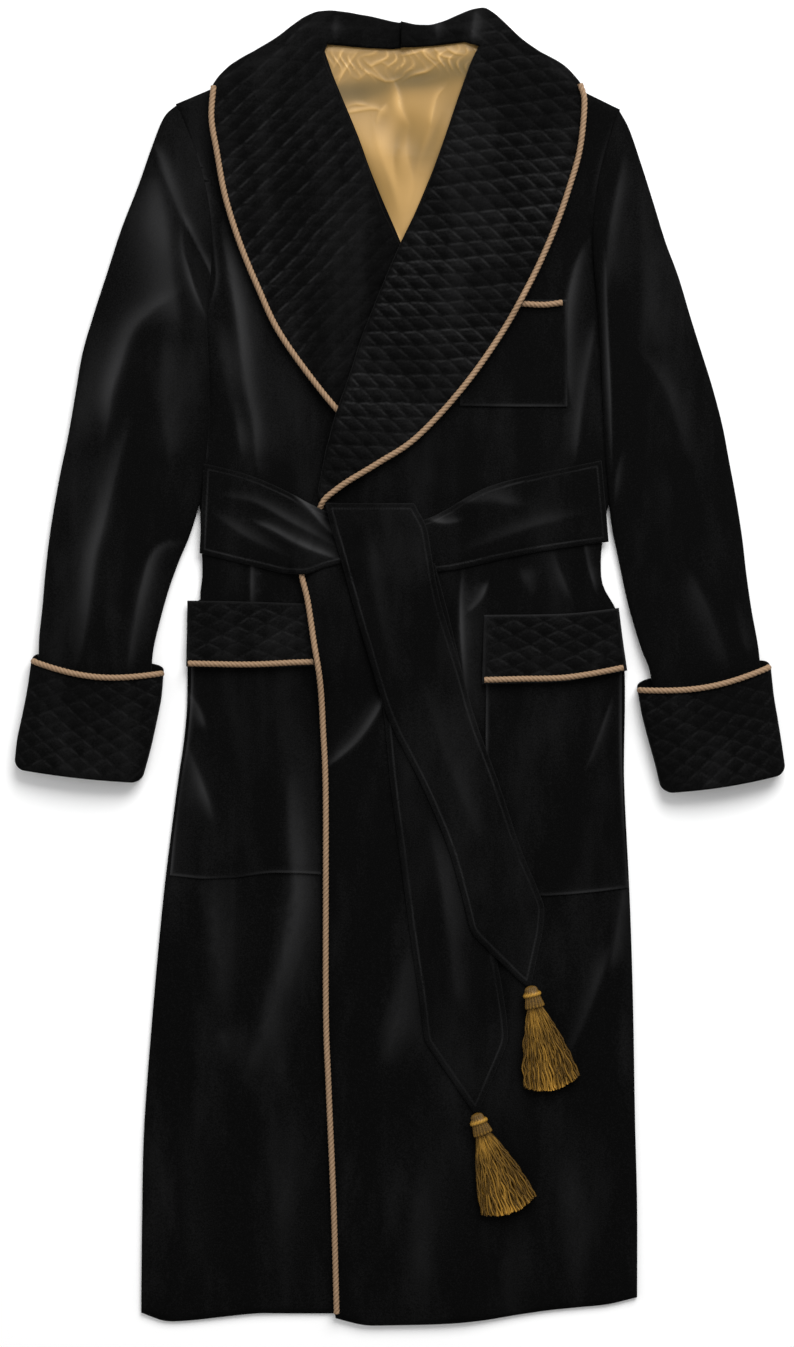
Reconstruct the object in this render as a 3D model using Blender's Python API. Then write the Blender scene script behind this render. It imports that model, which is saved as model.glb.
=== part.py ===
"""A long velvet smoking jacket laid flat on its back, with quilted shawl collar, cuffs and pocket bands.

Lengths are in millimetres until a mesh is made. X is across the jacket, Y from hem to collar, Z up.
Right and left are the wearer's: the right front is on the -X side and lies under the left front.
"""

import math

import bpy
import numpy as np
from mathutils import Vector
from mathutils.geometry import delaunay_2d_cdt

MM = 0.001
GAP = 0.45
CELL = 2.5
ORIGIN = np.array([-400.0, -670.0])
CELLS = (320, 540)

VELVET = 2.0
BELT = 2.6
QUILT = 3.0
LINING = 1.0
QUILT_RISE = 1.4
CORD_WIDE = 8.0
CORD_HIGH = 6.0

# Share of a flat tube's width that its underside stays in from each fold.
FLAT_FRACTION = 0.03
# The seam between a sleeve and a front, and how far the back stays in from the fronts' edges.
ARM_GAP = 1.2
BACK_INSET = 6.0
CUFF_TALL = 24.0
CUFF_EDGE = 9.0
CUFF_WALL = 2.6
# Quilted diamonds: half across, half along.
LAPEL_DIAMOND = (17.0, 8.2)
BAND_DIAMOND = (15.0, 8.0)
KNOT_RISE = 5.0
KNOT_Y = 150.0
KNOT_REACH = 34.0


def linear(value):
    value /= 255.0
    return value / 12.92 if value <= 0.04045 else ((value + 0.055) / 1.055) ** 2.4


def material(name, colour, roughness):
    made = bpy.data.materials.new(name)
    made.use_nodes = True
    shader = made.node_tree.nodes["Principled BSDF"]
    shade = [linear(int(colour[i : i + 2], 16)) for i in (0, 2, 4)]
    shader.inputs["Base Color"].default_value = (*shade, 1.0)
    shader.inputs["Roughness"].default_value = roughness
    made.diffuse_color = (*shade, 1.0)
    return made


def clear():
    for thing in list(bpy.data.objects):
        bpy.data.objects.remove(thing)


def add_object(name, points, faces, look):
    mesh = bpy.data.meshes.new(name)
    mesh.from_pydata([tuple(float(v) * MM for v in p) for p in points], [], faces)
    mesh.materials.append(look)
    for face in mesh.polygons:
        face.use_smooth = True
    mesh.validate()
    made = bpy.data.objects.new(name, mesh)
    bpy.context.scene.collection.objects.link(made)
    return made


def spline(points, step):
    """Points at about this step along a smooth curve through the given ones."""
    points = np.asarray(points, float)
    if len(points) < 3:
        count = max(1, int(round(np.linalg.norm(points[-1] - points[0]) / step)))
        part = np.linspace(0.0, 1.0, count + 1)[:, None]
        return points[0] * (1 - part) + points[-1] * part
    ends = np.vstack([2 * points[0] - points[1], points, 2 * points[-1] - points[-2]])
    fine = []
    for before, start, end, after in zip(ends, ends[1:], ends[2:], ends[3:]):
        for t in np.linspace(0.0, 1.0, 12, endpoint=False):
            slope_in = (end - before) / 2
            slope_out = (after - start) / 2
            fine.append(
                (2 * t**3 - 3 * t**2 + 1) * start
                + (t**3 - 2 * t**2 + t) * slope_in
                + (3 * t**2 - 2 * t**3) * end
                + (t**3 - t**2) * slope_out
            )
    fine.append(points[-1])
    fine = np.array(fine)
    run = np.concatenate([[0.0], np.cumsum(np.linalg.norm(np.diff(fine, axis=0), axis=1))])
    count = max(2, int(round(run[-1] / step)))
    at = np.linspace(0.0, run[-1], count + 1)
    return np.column_stack([np.interp(at, run, column) for column in fine.T])


def joined(*edges):
    """One closed outline from edges that each start near where the one before ends."""
    outline = []
    for edge in edges:
        for point in edge:
            if not outline or np.linalg.norm(np.subtract(point, outline[-1])) > 1.5:
                outline.append(np.array(point, float))
    while np.linalg.norm(outline[0] - outline[-1]) <= 1.5:
        outline.pop()
    return np.array(outline)


def inside(points, outline):
    """Which points lie in the outline."""
    x, y = points[:, 0], points[:, 1]
    found = np.zeros(len(points), bool)
    for (x0, y0), (x1, y1) in zip(outline, np.roll(outline, -1, axis=0)):
        if y0 == y1:
            continue
        crosses = (y0 > y) != (y1 > y)
        found ^= crosses & (x < (x1 - x0) * (y - y0) / (y1 - y0) + x0)
    return found


def away(points, outline):
    """How far each point is from the outline."""
    least = np.full(len(points), 1e9)
    for start, end in zip(outline, np.roll(outline, -1, axis=0)):
        along = end - start
        t = np.clip((points - start) @ along / max(along @ along, 1e-9), 0.0, 1.0)
        least = np.minimum(least, np.linalg.norm(points - start - t[:, None] * along, axis=1))
    return least


class Pile:
    """The height of the top of all that is laid so far, on a grid of cells."""

    def __init__(self):
        self.top = np.zeros(CELLS)
        self.lattices = {}

    def lattice(self, count):
        if count not in self.lattices:
            rows = [
                (i / count, j / count, (count - i - j) / count)
                for i in range(count + 1)
                for j in range(count + 1 - i)
            ]
            self.lattices[count] = np.array(rows)
        return self.lattices[count]

    def samples(self, points, triangles):
        who, weights = [], []
        for index, triangle in enumerate(triangles):
            corners = points[triangle]
            sides = np.linalg.norm(corners - np.roll(corners, 1, axis=0), axis=1)
            rows = self.lattice(max(1, int(math.ceil(sides.max() / 1.8))))
            who.append(np.full(len(rows), index))
            weights.append(rows)
        who = np.concatenate(who)
        weights = np.concatenate(weights)
        corners = triangles[who]
        at = (points[corners] * weights[:, :, None]).sum(axis=1)
        return corners, weights, self.cell(at)

    def cell(self, at):
        where = ((at - ORIGIN) / CELL).astype(int)
        return np.clip(where[:, 0], 0, CELLS[0] - 1), np.clip(where[:, 1], 0, CELLS[1] - 1)

    def need(self, gap):
        """The height that a new piece must clear, one cell wider than what lies there."""
        high = self.top
        for axis in (0, 1):
            high = np.maximum(high, np.maximum(np.roll(high, 1, axis), np.roll(high, -1, axis)))
        return np.where(high > 0, high + gap, 0.0)

    def lay(self, points, triangles, gap, ease):
        """The height of each point of a sheet that lies on the pile."""
        need = self.need(gap)
        corners, weights, cells = self.samples(points, triangles)
        wanted = need[cells]
        height = need[self.cell(points)]
        for pull in [False] * (ease + 12) + [True] * 3:
            lack = wanted - (height[corners] * weights).sum(axis=1)
            lift = np.maximum(lack, 0.0)
            if not pull:
                lift = lift / (weights**2).sum(axis=1)
            add = np.zeros(len(points))
            for side in range(3):
                share = lift if pull else lift * weights[:, side]
                np.maximum.at(add, corners[:, side], share)
            height = height + add
            if ease > 0:
                height = np.maximum(height, self.smoothed(height, triangles))
                ease -= 1
        return height

    def smoothed(self, height, triangles):
        total = np.zeros(len(height))
        count = np.zeros(len(height))
        for side in range(3):
            for other in (1, 2):
                np.add.at(total, triangles[:, side], height[triangles[:, (side + other) % 3]])
                np.add.at(count, triangles[:, side], 1)
        return total / np.maximum(count, 1)

    def mark(self, points, triangles, height):
        corners, weights, cells = self.samples(points, triangles)
        np.maximum.at(self.top, cells, (height[corners] * weights).sum(axis=1))

    def highest(self, points, radius):
        """The top of the pile within this distance of any of the points."""
        reach = np.arange(-radius, radius + 0.1, CELL / 2)
        found = 0.0
        for dx in reach:
            for dy in reach:
                found = max(found, self.top[self.cell(points + (dx, dy))].max())
        return found


def curve_points(row, count=16):
    x0, y0, x1, y1, bend = row[:5]
    t = np.linspace(0.0, 1.0, count)[:, None]
    start, end = np.array([x0, y0], float), np.array([x1, y1], float)
    side = np.array([y0 - y1, x1 - x0]) / max(np.linalg.norm(end - start), 1e-9)
    return start * (1 - t) + end * t + side * bend * 4 * t * (1 - t)


def folds_at(points, folds):
    """How far soft folds lift the cloth. A row is x0, y0, x1, y1, bend, width, rise."""
    rise = np.zeros(len(points))
    for row in folds:
        line = curve_points(row)
        width, lift = row[5], row[6]
        gaps = np.linalg.norm(points[:, None, :] - line[None, :, :], axis=2)
        nearest = gaps.argmin(axis=1) / (len(line) - 1)
        ends = np.clip(4 * np.minimum(nearest, 1 - nearest) + 0.25, 0.0, 1.0)
        rise += lift * ends * np.exp(-((gaps.min(axis=1) / width) ** 2))
    return np.maximum(rise, 0.0)


def fill(outline, spacing, folds=(), lattice=None):
    """Points and triangles that fill an outline, with points along its folds or stitches."""
    edge_count = len(outline)
    low, high = outline.min(axis=0), outline.max(axis=0)
    constraints = [(i, (i + 1) % edge_count) for i in range(edge_count)]
    if lattice is None:
        rows = []
        step = spacing * 0.866
        for j, y in enumerate(np.arange(low[1], high[1], step)):
            for x in np.arange(low[0] + (j % 2) * spacing / 2, high[0], spacing):
                rows.append((x, y))
        grid = np.array(rows)
        near = [curve_points(row, 9) for row in folds]
        if near:
            lines = np.vstack(near)
            gaps = np.linalg.norm(grid[:, None, :] - lines[None, :, :], axis=2).min(axis=1)
            grid = np.vstack([grid[gaps > spacing * 0.42], lines])
        keep = inside(grid, outline) & (away(grid, outline) > min(spacing * 0.4, 12.0))
        grid = grid[keep]
    else:
        grid, links = lattice_points(lattice, low, high)
        keep = inside(grid, outline) & (away(grid, outline) > 2.6)
        order = np.cumsum(keep) - 1
        for start, end in links:
            if keep[start] and keep[end]:
                constraints.append((edge_count + order[start], edge_count + order[end]))
        grid = grid[keep]
    points = [Vector(p) for p in outline] + [Vector(p) for p in grid]
    made = delaunay_2d_cdt(points, constraints, [], 0, 1e-5)
    flat = np.array([tuple(v) for v in made[0]])
    triangles = np.array([tuple(face) for face in made[2]])
    middles = flat[triangles].mean(axis=1)
    return flat, triangles[inside(middles, outline)]


def lattice_points(lattice, low, high):
    """Corners and middles of quilted diamonds, and the stitches that join the corners."""
    centre, tilt, across, along = lattice
    turn = math.radians(tilt)
    u = np.array([math.cos(turn), math.sin(turn)])
    v = np.array([-math.sin(turn), math.cos(turn)])
    reach = np.linalg.norm(high - low)
    count_u, count_v = int(reach / across) + 2, int(reach / along) + 2
    number, rows = {}, []
    for i in range(-count_u, count_u + 1):
        for j in range(-count_v, count_v + 1):
            at = np.array(centre) + u * across * i + v * along * j
            if (at > low - 20).all() and (at < high + 20).all():
                number[i, j] = len(rows)
                rows.append(at)
    links = [
        (number[i, j], number[i + 1, j + way])
        for i, j in number
        for way in (-1, 1)
        if (i + j) % 2 == 0 and (i + 1, j + way) in number
    ]
    return np.array(rows), links


def quilt_rise(points, outline, lattice):
    """Each diamond is raised in its middle and drawn down at its stitches and at the seam."""
    centre, tilt, across, along = lattice
    turn = math.radians(tilt)
    rel = points - np.array(centre)
    i = (rel[:, 0] * math.cos(turn) + rel[:, 1] * math.sin(turn)) / across
    j = (-rel[:, 0] * math.sin(turn) + rel[:, 1] * math.cos(turn)) / along
    first, second = (i + j) / 2, (i - j) / 2
    from_stitch = np.minimum(abs(first - np.round(first)), abs(second - np.round(second)))
    return QUILT_RISE * 2 * from_stitch * np.clip(away(points, outline) / 5.0, 0.0, 1.0)


pile = Pile()


def sheet(name, outline, thick, look, spacing=36.0, folds=(), lattice=None, ease=2, bump=None):
    """A cloth piece laid on the pile."""
    points, triangles = fill(outline, spacing, folds, lattice)
    low = pile.lay(points, triangles, GAP, ease) + folds_at(points, folds)
    high = low + thick
    if lattice is not None:
        high = high + quilt_rise(points, outline, lattice)
    if bump is not None:
        high = high + bump(points)
    count = len(points)
    corners = [(*p, z) for p, z in zip(points, high)] + [(*p, z) for p, z in zip(points, low)]
    faces = [tuple(int(v) for v in t) for t in triangles]
    under = [(c + count, b + count, a + count) for a, b, c in faces]
    sides = {}
    for a, b, c in faces:
        for start, end in ((a, b), (b, c), (c, a)):
            if (end, start) in sides:
                del sides[end, start]
            else:
                sides[start, end] = True
    walls = []
    for start, end in sides:
        walls.append((start, start + count, end + count))
        walls.append((start, end + count, end))
    pile.mark(points, triangles, high)
    return add_object(name, corners, faces + under + walls, look)


def cord(name, path, look, step):
    """A round piping cord that lies on the pile along a path."""
    path = spline(path, step)
    count = len(path)
    tops = []
    for i in range(count):
        near = path[max(0, i - 1) : i + 2]
        shares = np.linspace(0, 1, 9 if len(near) == 2 else 6)
        fine = np.vstack([start * (1 - t) + end * t for start, end in zip(near, near[1:]) for t in shares])
        tops.append(pile.highest(fine, CORD_WIDE / 2))
    centre = np.array(tops) + GAP + CORD_HIGH / 2
    along = np.gradient(path, axis=0)
    along /= np.linalg.norm(along, axis=1)[:, None]
    across = np.column_stack([along[:, 1], -along[:, 0], np.zeros(count)])
    up = np.tile([0.0, 0.0, 1.0], (count, 1))
    return cord_skin(name, np.column_stack([path, centre]), across, up, look)


def cord_skin(name, path, across, up, look):
    """A six-sided cord round a path, wide across it and high along its up direction."""
    sides = 6
    count = len(path)
    corners, faces = [], []
    for i in range(count):
        for k in range(sides):
            turn = 2 * math.pi * (k + 0.5) / sides
            at = path[i] + across[i] * math.cos(turn) * CORD_WIDE / 2
            at = at + up[i] * math.sin(turn) * CORD_HIGH / 2
            corners.append(tuple(at))
    for i in range(count - 1):
        for k in range(sides):
            a, b = i * sides + k, i * sides + (k + 1) % sides
            faces.append((a, b, b + sides, a + sides))
    faces.append(tuple(range(sides))[::-1])
    faces.append(tuple((count - 1) * sides + k for k in range(sides)))
    flat = np.array([c[:2] for c in corners])
    tall = np.array([c[2] for c in corners])
    triangles = np.array([t for f in faces[:-2] for t in ((f[0], f[1], f[2]), (f[0], f[2], f[3]))])
    pile.mark(flat, triangles, tall)
    return add_object(name, corners, faces, look)


def arch(t):
    """How far across its width a flat tube rises: 0 at its folds, 1 over most of its top."""
    return (1 - abs(2 * t - 1) ** 3) ** 0.6


def cuff_cord(name, row, look):
    """The cord round the upper side of a cuff's turned edge."""
    ax, ay, bx, by, bulge, tall, edge, floor = row
    t = 0.5 - 0.5 * np.cos(np.linspace(0.0, math.pi, 15))
    t = 0.012 + 0.976 * t
    start, end = np.array([ax, ay]), np.array([bx, by])
    width = np.linalg.norm(end - start)
    down = np.array([end[1] - start[1], start[0] - end[0]]) / width
    down = down if down[1] < 0 else -down
    flat = start * (1 - t[:, None]) + end * t[:, None] + down * (bulge * np.sin(math.pi * t) + 1.5)[:, None]
    path = np.column_stack([flat, floor + edge + (tall - edge) * arch(t)])
    along = np.gradient(path, axis=0)
    across = np.tile([*down, 0.0], (len(t), 1))
    up = np.cross(across, along)
    up /= np.linalg.norm(up, axis=1)[:, None]
    up *= np.sign(up[:, 2])[:, None]
    path += up * (CORD_HIGH / 2 + QUILT_RISE * 0.5 + 0.5)
    return cord_skin(name, path, across, up, look)


def tube(name, rows, wall, look, top_count, under_count, folds=(), rise=0.0):
    """A sleeve or cuff laid flat: rings that go round it, with an inner and an outer skin.

    A row is a ring: outer edge x, y; inner edge x, y; sideways bulge; height; edge height; floor.
    """
    loops_out, loops_in, plans, tops = [], [], [], []
    for number, (ax, ay, bx, by, bulge, tall, edge, floor) in enumerate(rows):
        start, end = np.array([ax, ay], float), np.array([bx, by], float)
        width = np.linalg.norm(end - start)
        down = np.array([end[1] - start[1], start[0] - end[0]]) / width
        down = down if down[1] < 0 else -down
        ts = list(np.linspace(0.0, 1.0, top_count + 1))
        under = list(np.linspace(1.0 - FLAT_FRACTION, FLAT_FRACTION, under_count))
        out, inn = [], []
        clear_t = 1.2 * wall / width
        for k, t in enumerate(ts):
            at = start * (1 - t) + end * t + down * bulge * math.sin(math.pi * t)
            share = arch(t)
            z = floor + edge + (tall - edge) * share
            z += float(folds_at(at[None, :], folds)[0]) * min(1.0, share * 1.5)
            raised = rise if (k + number) % 2 and 0 < k < top_count else 0.0
            raised *= 0 < number < len(rows) - 1
            ti = min(max(t, clear_t), 1 - clear_t)
            ai = start * (1 - ti) + end * ti + down * bulge * math.sin(math.pi * ti)
            drop = 0.0 if k in (0, top_count) else wall
            out.append((at[0], at[1], z + raised))
            inn.append((ai[0], ai[1], z - drop))
        plans.append([p[:2] for p in out])
        tops.append([p[2] for p in out])
        for t in under:
            at = start * (1 - t) + end * t + down * bulge * math.sin(math.pi * t)
            ti = min(max(t, clear_t), 1 - clear_t)
            ai = start * (1 - ti) + end * ti + down * bulge * math.sin(math.pi * ti)
            out.append((at[0], at[1], floor))
            inn.append((ai[0], ai[1], floor + wall))
        loops_out.append(out)
        loops_in.append(inn)
    around = len(loops_out[0])
    rings = len(rows)
    corners = [p for loop in loops_out for p in loop] + [p for loop in loops_in for p in loop]
    base = around * rings
    faces = []
    for i in range(rings - 1):
        for k in range(around):
            m = (k + 1) % around
            a, b = i * around + k, i * around + m
            c, d = b + around, a + around
            if (i + k) % 2:
                faces += [(a, c, b), (a, d, c)]
            else:
                faces += [(a, d, b), (b, d, c)]
            faces += [(base + a, base + b, base + c), (base + a, base + c, base + d)]
    last = (rings - 1) * around
    for k in range(around):
        m = (k + 1) % around
        faces.append((k, m, base + m, base + k))
        faces.append((last + k, base + last + k, base + last + m, last + m))
    plan, top = np.array(plans), np.array(tops)
    flat, tall = plan.reshape(-1, 2), top.reshape(-1)
    span = top_count + 1
    triangles = []
    for i in range(rings - 1):
        for k in range(span - 1):
            a = i * span + k
            triangles += [(a, a + 1, a + span), (a + 1, a + span + 1, a + span)]
    pile.mark(flat, np.array(triangles), tall)
    made = add_object(name, corners, faces, look)
    if volume(made) < 0:
        made.data.flip_normals()
    return made


def volume(made):
    total = 0.0
    made.data.calc_loop_triangles()
    for tri in made.data.loop_triangles:
        a, b, c = (made.data.vertices[v].co for v in tri.vertices)
        total += a.dot(b.cross(c))
    return total


# Half of the shawl collar from the centre back to its point. Each row is a section across it:
# the neck seam or roll line, then the piped edge.
RIGHT_COLLAR = [
    (1, 604, 1, 627),
    (-36, 604, -37, 634),
    (-72, 605, -82, 637),
    (-73, 596, -121, 612),
    (-68, 580, -163, 585),
    (-60, 563, -181, 560),
    (-52, 545, -183, 530),
    (-40, 515, -178, 498),
    (-29, 486, -170, 455),
    (-16, 446, -156, 410),
    (2, 410, -138, 366),
    (18, 371, -117, 322),
    (38, 322, -79, 269),
    (52, 278, -39, 224),
    (64, 244, -5, 200),
    (72, 215, 26, 183),
    (79, 180, 58, 169),
    (82, 164, 79, 160),
]
LEFT_COLLAR = [
    (2, 604, 2, 627),
    (35, 604, 32, 624),
    (60, 604, 59, 634),
    (77, 604, 84, 641),
    (74, 595, 117, 614),
    (69, 580, 156, 585),
    (63, 563, 174, 562),
    (57, 546, 178, 545),
    (48, 519, 174, 502),
    (39, 493, 165, 468),
    (27, 460, 150, 425),
    (3, 410, 128, 376),
    (-14, 371, 98, 322),
    (-34, 322, 59, 267),
    (-48, 278, 15, 220),
    (-60, 244, -20, 196),
    (-68, 215, -48, 178),
    (-76, 182, -70, 163),
    (-80, 166, -77, 159),
]

# The side of the jacket at each height: y, right side x, left side x.
SIDES = [
    (342, -185, 193),
    (300, -187, 197),
    (259, -187, 199),
    (195, -189, 201),
    (160, -194, 203),
    (117, -192, 196),
    (88, -191, 195),
    (70, -193, 199),
    (58, -204, 211),
    (30, -206, 216),
    (0, -206, 219),
    (-53, -207, 219),
    (-102, -214, 218),
    (-170, -223, 221),
    (-229, -230, 224),
    (-326, -239, 227),
    (-443, -248, 229),
    (-521, -250, 231),
    (-610, -251, 231),
]

# The front edge of the left front and, under it, of the right front: y, left front x, right front x.
FRONT_EDGES = [
    (604, 78, -75),
    (566, 63, -62),
    (522, 47, -43),
    (475, 30, -26),
    (410, 2, 2),
    (371, -14, 17),
    (322, -33, 37),
    (278, -47, 51),
    (244, -59, 63),
    (215, -67, 71),
    (186, -76, 79),
    (150, -88, 88),
    (115, -98, 98),
    (91, -98, 97),
    (64, -92, 92),
    (25, -86, 86),
    (-14, -81, 81),
    (-63, -78, 78),
    (-131, -76, 76),
    (-326, -76, 76),
    (-404, -73, 74),
    (-521, -67, 69),
    (-625, -64, 66),
]

RIGHT_HEM = [(-251, -628), (-244, -637), (-195, -635), (-146, -629), (-97, -628), (-40, -629), (20, -630)]
LEFT_HEM = [
    (-62, -633),
    (-48, -640),
    (-19, -640),
    (39, -639),
    (78, -636),
    (108, -631),
    (150, -625),
    (195, -621),
    (222, -618),
    (231, -613),
]

# Sleeve rings from armhole to inside the cuff:
# outer edge x, y; inner edge x, y; bulge; height; edge height; floor.
RIGHT_SLEEVE = [
    (-216, 546, -190, 343, -17, 8, 3.5, 0),
    (-229, 533, -191, 334, -12, 10, 4, 0),
    (-241, 503, -190, 322, -9, 12, 4, 0),
    (-254, 466, -189, 306, -6, 13, 4, 0),
    (-270, 425, -188, 286, -3, 13, 4, 0),
    (-284, 382, -188, 262, 0, 13, 4, 0),
    (-297, 342, -189, 238, 0, 13, 4, 0),
    (-308, 304, -190, 212, 0, 13, 4, 0),
    (-315, 264, -193, 186, 0, 13, 4, 0),
    (-322, 224, -197, 157, 0, 13, 4, 0),
    (-331, 181, -204, 127, 0, 13, 4, 0),
    (-339, 134, -215, 100, 0, 13, 4, 0),
    (-344, 92, -225, 71, 0, 13, 4, 0.6),
    (-347, 55, -233, 41, 0, 13, 4, 1.8),
    (-350, 25, -239, 14, 0, 13, 4, 3.0),
    (-351, 0, -241, -8, 0, 13, 4, 3.0),
    (-355, -50, -243, -54, 0, 12, 4, 3.0),
    (-359, -82, -249, -90, 0, 12, 4, 3.0),
]
LEFT_SLEEVE = [
    (213, 541, 195, 356, -13, 8, 3.5, 0),
    (223, 522, 196, 346, -11, 10, 4, 0),
    (234, 490, 197, 334, -8, 12, 4, 0),
    (246, 452, 198, 318, -5, 13, 4, 0),
    (258, 413, 200, 299, -2, 13, 4, 0),
    (271, 378, 201, 276, -1, 13, 4, 0),
    (283, 338, 202, 252, 0, 13, 4, 0),
    (294, 303, 202, 226, 0, 13, 4, 0),
    (304, 271, 203, 200, 0, 13, 4, 0),
    (314, 233, 205, 166, 0, 13, 4, 0),
    (321, 197, 207, 134, 0, 13, 4, 0),
    (328, 160, 214, 100, 0, 13, 4, 0),
    (334, 122, 222, 63, 0, 13, 4, 0.6),
    (338, 88, 230, 34, 0, 13, 4, 1.8),
    (343, 52, 237, 11, 0, 13, 4, 3.0),
    (350, 8, 245, -14, 0, 13, 4, 3.0),
    (354, -44, 252, -66, 0, 12, 4, 3.0),
    (360, -80, 262, -98, 0, 12, 4, 3.0),
]

# Cuff sections from the turned edge to the wrist: outer edge x, y; inner edge x, y; bulge.
RIGHT_CUFF = [
    (-357, 6, -229, -6, 9),
    (-361, -22, -231, -30, 8),
    (-366, -48, -236, -56, 7),
    (-371, -72, -241, -82, 6),
    (-372, -95, -248, -109, 6),
]
LEFT_CUFF = [
    (360, 0, 231, -22, 8),
    (363, -28, 235, -46, 7),
    (367, -52, 241, -70, 6),
    (371, -76, 248, -94, 5),
    (373, -99, 256, -119, 5),
]

# Belt stretches at the waist: upper edge x, y; lower edge x, y.
RIGHT_WAIST = [
    (-190, 197, -194, 110),
    (-156, 189, -165, 103),
    (-133, 181, -136, 96),
    (-105, 168, -97, 88),
    (-80, 154, -72, 96),
    (-56, 144, -54, 101),
    (-30, 138, -30, 104),
]
LEFT_WAIST = [
    (-26, 136, -24, 98),
    (4, 138, 6, 93),
    (25, 142, 35, 91),
    (49, 154, 69, 97),
    (78, 171, 117, 108),
    (112, 182, 166, 116),
    (196, 200, 203, 121),
]
# Hanging belt ends: y, left x, right x, and their points.
UPPER_END = [
    (158, -72, 14),
    (137, -67, 26),
    (108, -58, 31),
    (64, -46, 39),
    (0, -27, 59),
    (-53, -10, 74),
    (-112, 20, 96),
    (-175, 47, 117),
    (-236, 64, 142),
    (-258, 69, 139),
    (-312, 123, 127),
]
LOWER_END = [
    (100, -46, 34),
    (40, -33, 50),
    (-34, -17, 66),
    (-112, -9, 74),
    (-180, 0, 81),
    (-258, 10, 90),
    (-326, 20, 102),
    (-363, 24, 106),
    (-433, 72, 76),
]

# Folds: x0, y0, x1, y1, bend, width, rise.
RIGHT_FRONT_FOLDS = [
    (-168, 410, -140, 200, -8, 9, 3.0),
    (-185, 330, -160, 215, 4, 10, 2.0),
    (-120, -130, -160, -400, 10, 18, 3.0),
    (-205, -40, -185, -160, 4, 9, 2.0),
]
LEFT_FRONT_FOLDS = [
    (180, 400, 166, 262, -8, 8, 2.5),
    (188, 320, 172, 205, 6, 9, 2.0),
    (61, 80, 64, -30, 4, 9, 2.5),
    (170, 112, 190, 66, 3, 8, 2.0),
    (-20, -40, -62, -88, 5, 8, 2.5),
    (5, -290, -12, -380, 3, 14, 2.0),
    (196, -290, 174, -350, 3, 12, 1.6),
    (218, -230, 208, -290, 3, 9, 1.4),
]
RIGHT_SLEEVE_FOLDS = [
    (-230, 490, -188, 380, -10, 9, 4.0),
    (-240, 475, -224, 340, 8, 14, 3.0),
    (-224, 350, -280, 240, 14, 10, 3.0),
    (-262, 222, -300, 40, 10, 9, 3.0),
    (-240, 112, -262, 10, 6, 8, 2.5),
]
LEFT_SLEEVE_FOLDS = [
    (226, 500, 204, 370, -8, 9, 3.0),
    (246, 420, 232, 300, 8, 14, 2.6),
    (262, 300, 232, 190, 8, 11, 2.2),
    (300, 200, 318, 40, 8, 12, 2.4),
    (262, 120, 284, 10, -6, 10, 2.0),
]
RIGHT_WAIST_FOLDS = [(-165, 172, -62, 135, -8, 5, 1.6), (-150, 140, -60, 118, 6, 5, 1.6)]
LEFT_WAIST_FOLDS = [(170, 185, 30, 128, 6, 6, 1.4), (150, 130, 36, 108, 6, 6, 1.4)]


def half_collar(rows, lattice, name, look):
    rows = np.array(rows, float)
    inner = joined(spline(rows[:4, :2], 14), rows[4:, :2])
    outer = spline(rows[:, 2:], 14)
    outline = joined(inner, outer[::-1])
    return sheet(name, outline, QUILT, look, lattice=lattice)


def arm_seam(rows, shift):
    """The armhole edge of the body beside the first ring of a sleeve."""
    ax, ay, bx, by, bulge = rows[0][:5]
    way = 1 if ax < 0 else -1
    t = np.linspace(0.0, 1.0, 9)
    start, end = np.array([ax, ay], float), np.array([bx, by], float)
    down = np.array([by - ay, ax - bx]) / np.linalg.norm(end - start)
    down = down if down[1] < 0 else -down
    curve = start * (1 - t[:, None]) + end * t[:, None] + down * bulge * np.sin(math.pi * t)[:, None]
    curve[:, 0] += way * shift
    return curve


clear()
black = material("black velvet", "141314", 0.85)
quilted = material("quilted black velvet", "121112", 0.85)
gold = material("gold satin lining", "C8A45F", 0.35)
rope = material("gold twisted cord", "C2A67C", 0.55)
silk = material("dark gold rayon", "A9791F", 0.5)

# Under the back: the belt round the back and the fall of the collar.
belt_back = joined(
    spline([(-186, 194), (0, 197), (194, 196)], 40),
    spline([(194, 119), (0, 112), (-186, 111)], 40),
)
sheet("belt_back", belt_back, BELT, black, 40)
fall_top = [(-176, 556), (-150, 583), (-100, 616), (-50, 629), (0, 619)]
fall_top += [(50, 625), (100, 618), (150, 582), (169, 558)]
fall_edge = [(169, 546), (120, 520), (50, 508), (0, 506), (-50, 508), (-120, 522), (-176, 546)]
fall = joined(spline(fall_top, 24), spline(fall_edge, 24))
sheet("collar_fall", fall, QUILT, quilted, 30)

neck = [(-76, 602), (0, 600), (78, 602)]
left_arm = arm_seam(LEFT_SLEEVE, BACK_INSET - 1.0)
right_arm = arm_seam(RIGHT_SLEEVE, BACK_INSET - 1.0)
sides = np.array(SIDES, float)
back = joined(
    spline([(78, 602), tuple(left_arm[0])], 40),
    left_arm,
    spline(np.column_stack([sides[1:, 2] - BACK_INSET, sides[1:, 0]]), 38),
    spline([(225, -612), (0, -628), (-244, -628)], 40),
    spline(np.column_stack([sides[:0:-1, 1] + BACK_INSET, sides[:0:-1, 0]]), 38),
    right_arm[::-1],
    spline([tuple(right_arm[0]), (-76, 602)], 40),
    spline(neck, 30),
)
sheet("back", back, VELVET, black, 46, ease=1)
lining = joined(
    spline([(-88, 607), (0, 606), (90, 607)], 20),
    spline([(90, 607), (62, 500), (24, 392)], 20),
    spline([(24, 392), (-20, 392)], 20),
    spline([(-20, 392), (-58, 500), (-88, 607)], 20),
)
sheet("back_lining", lining, LINING, gold, 20)

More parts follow.
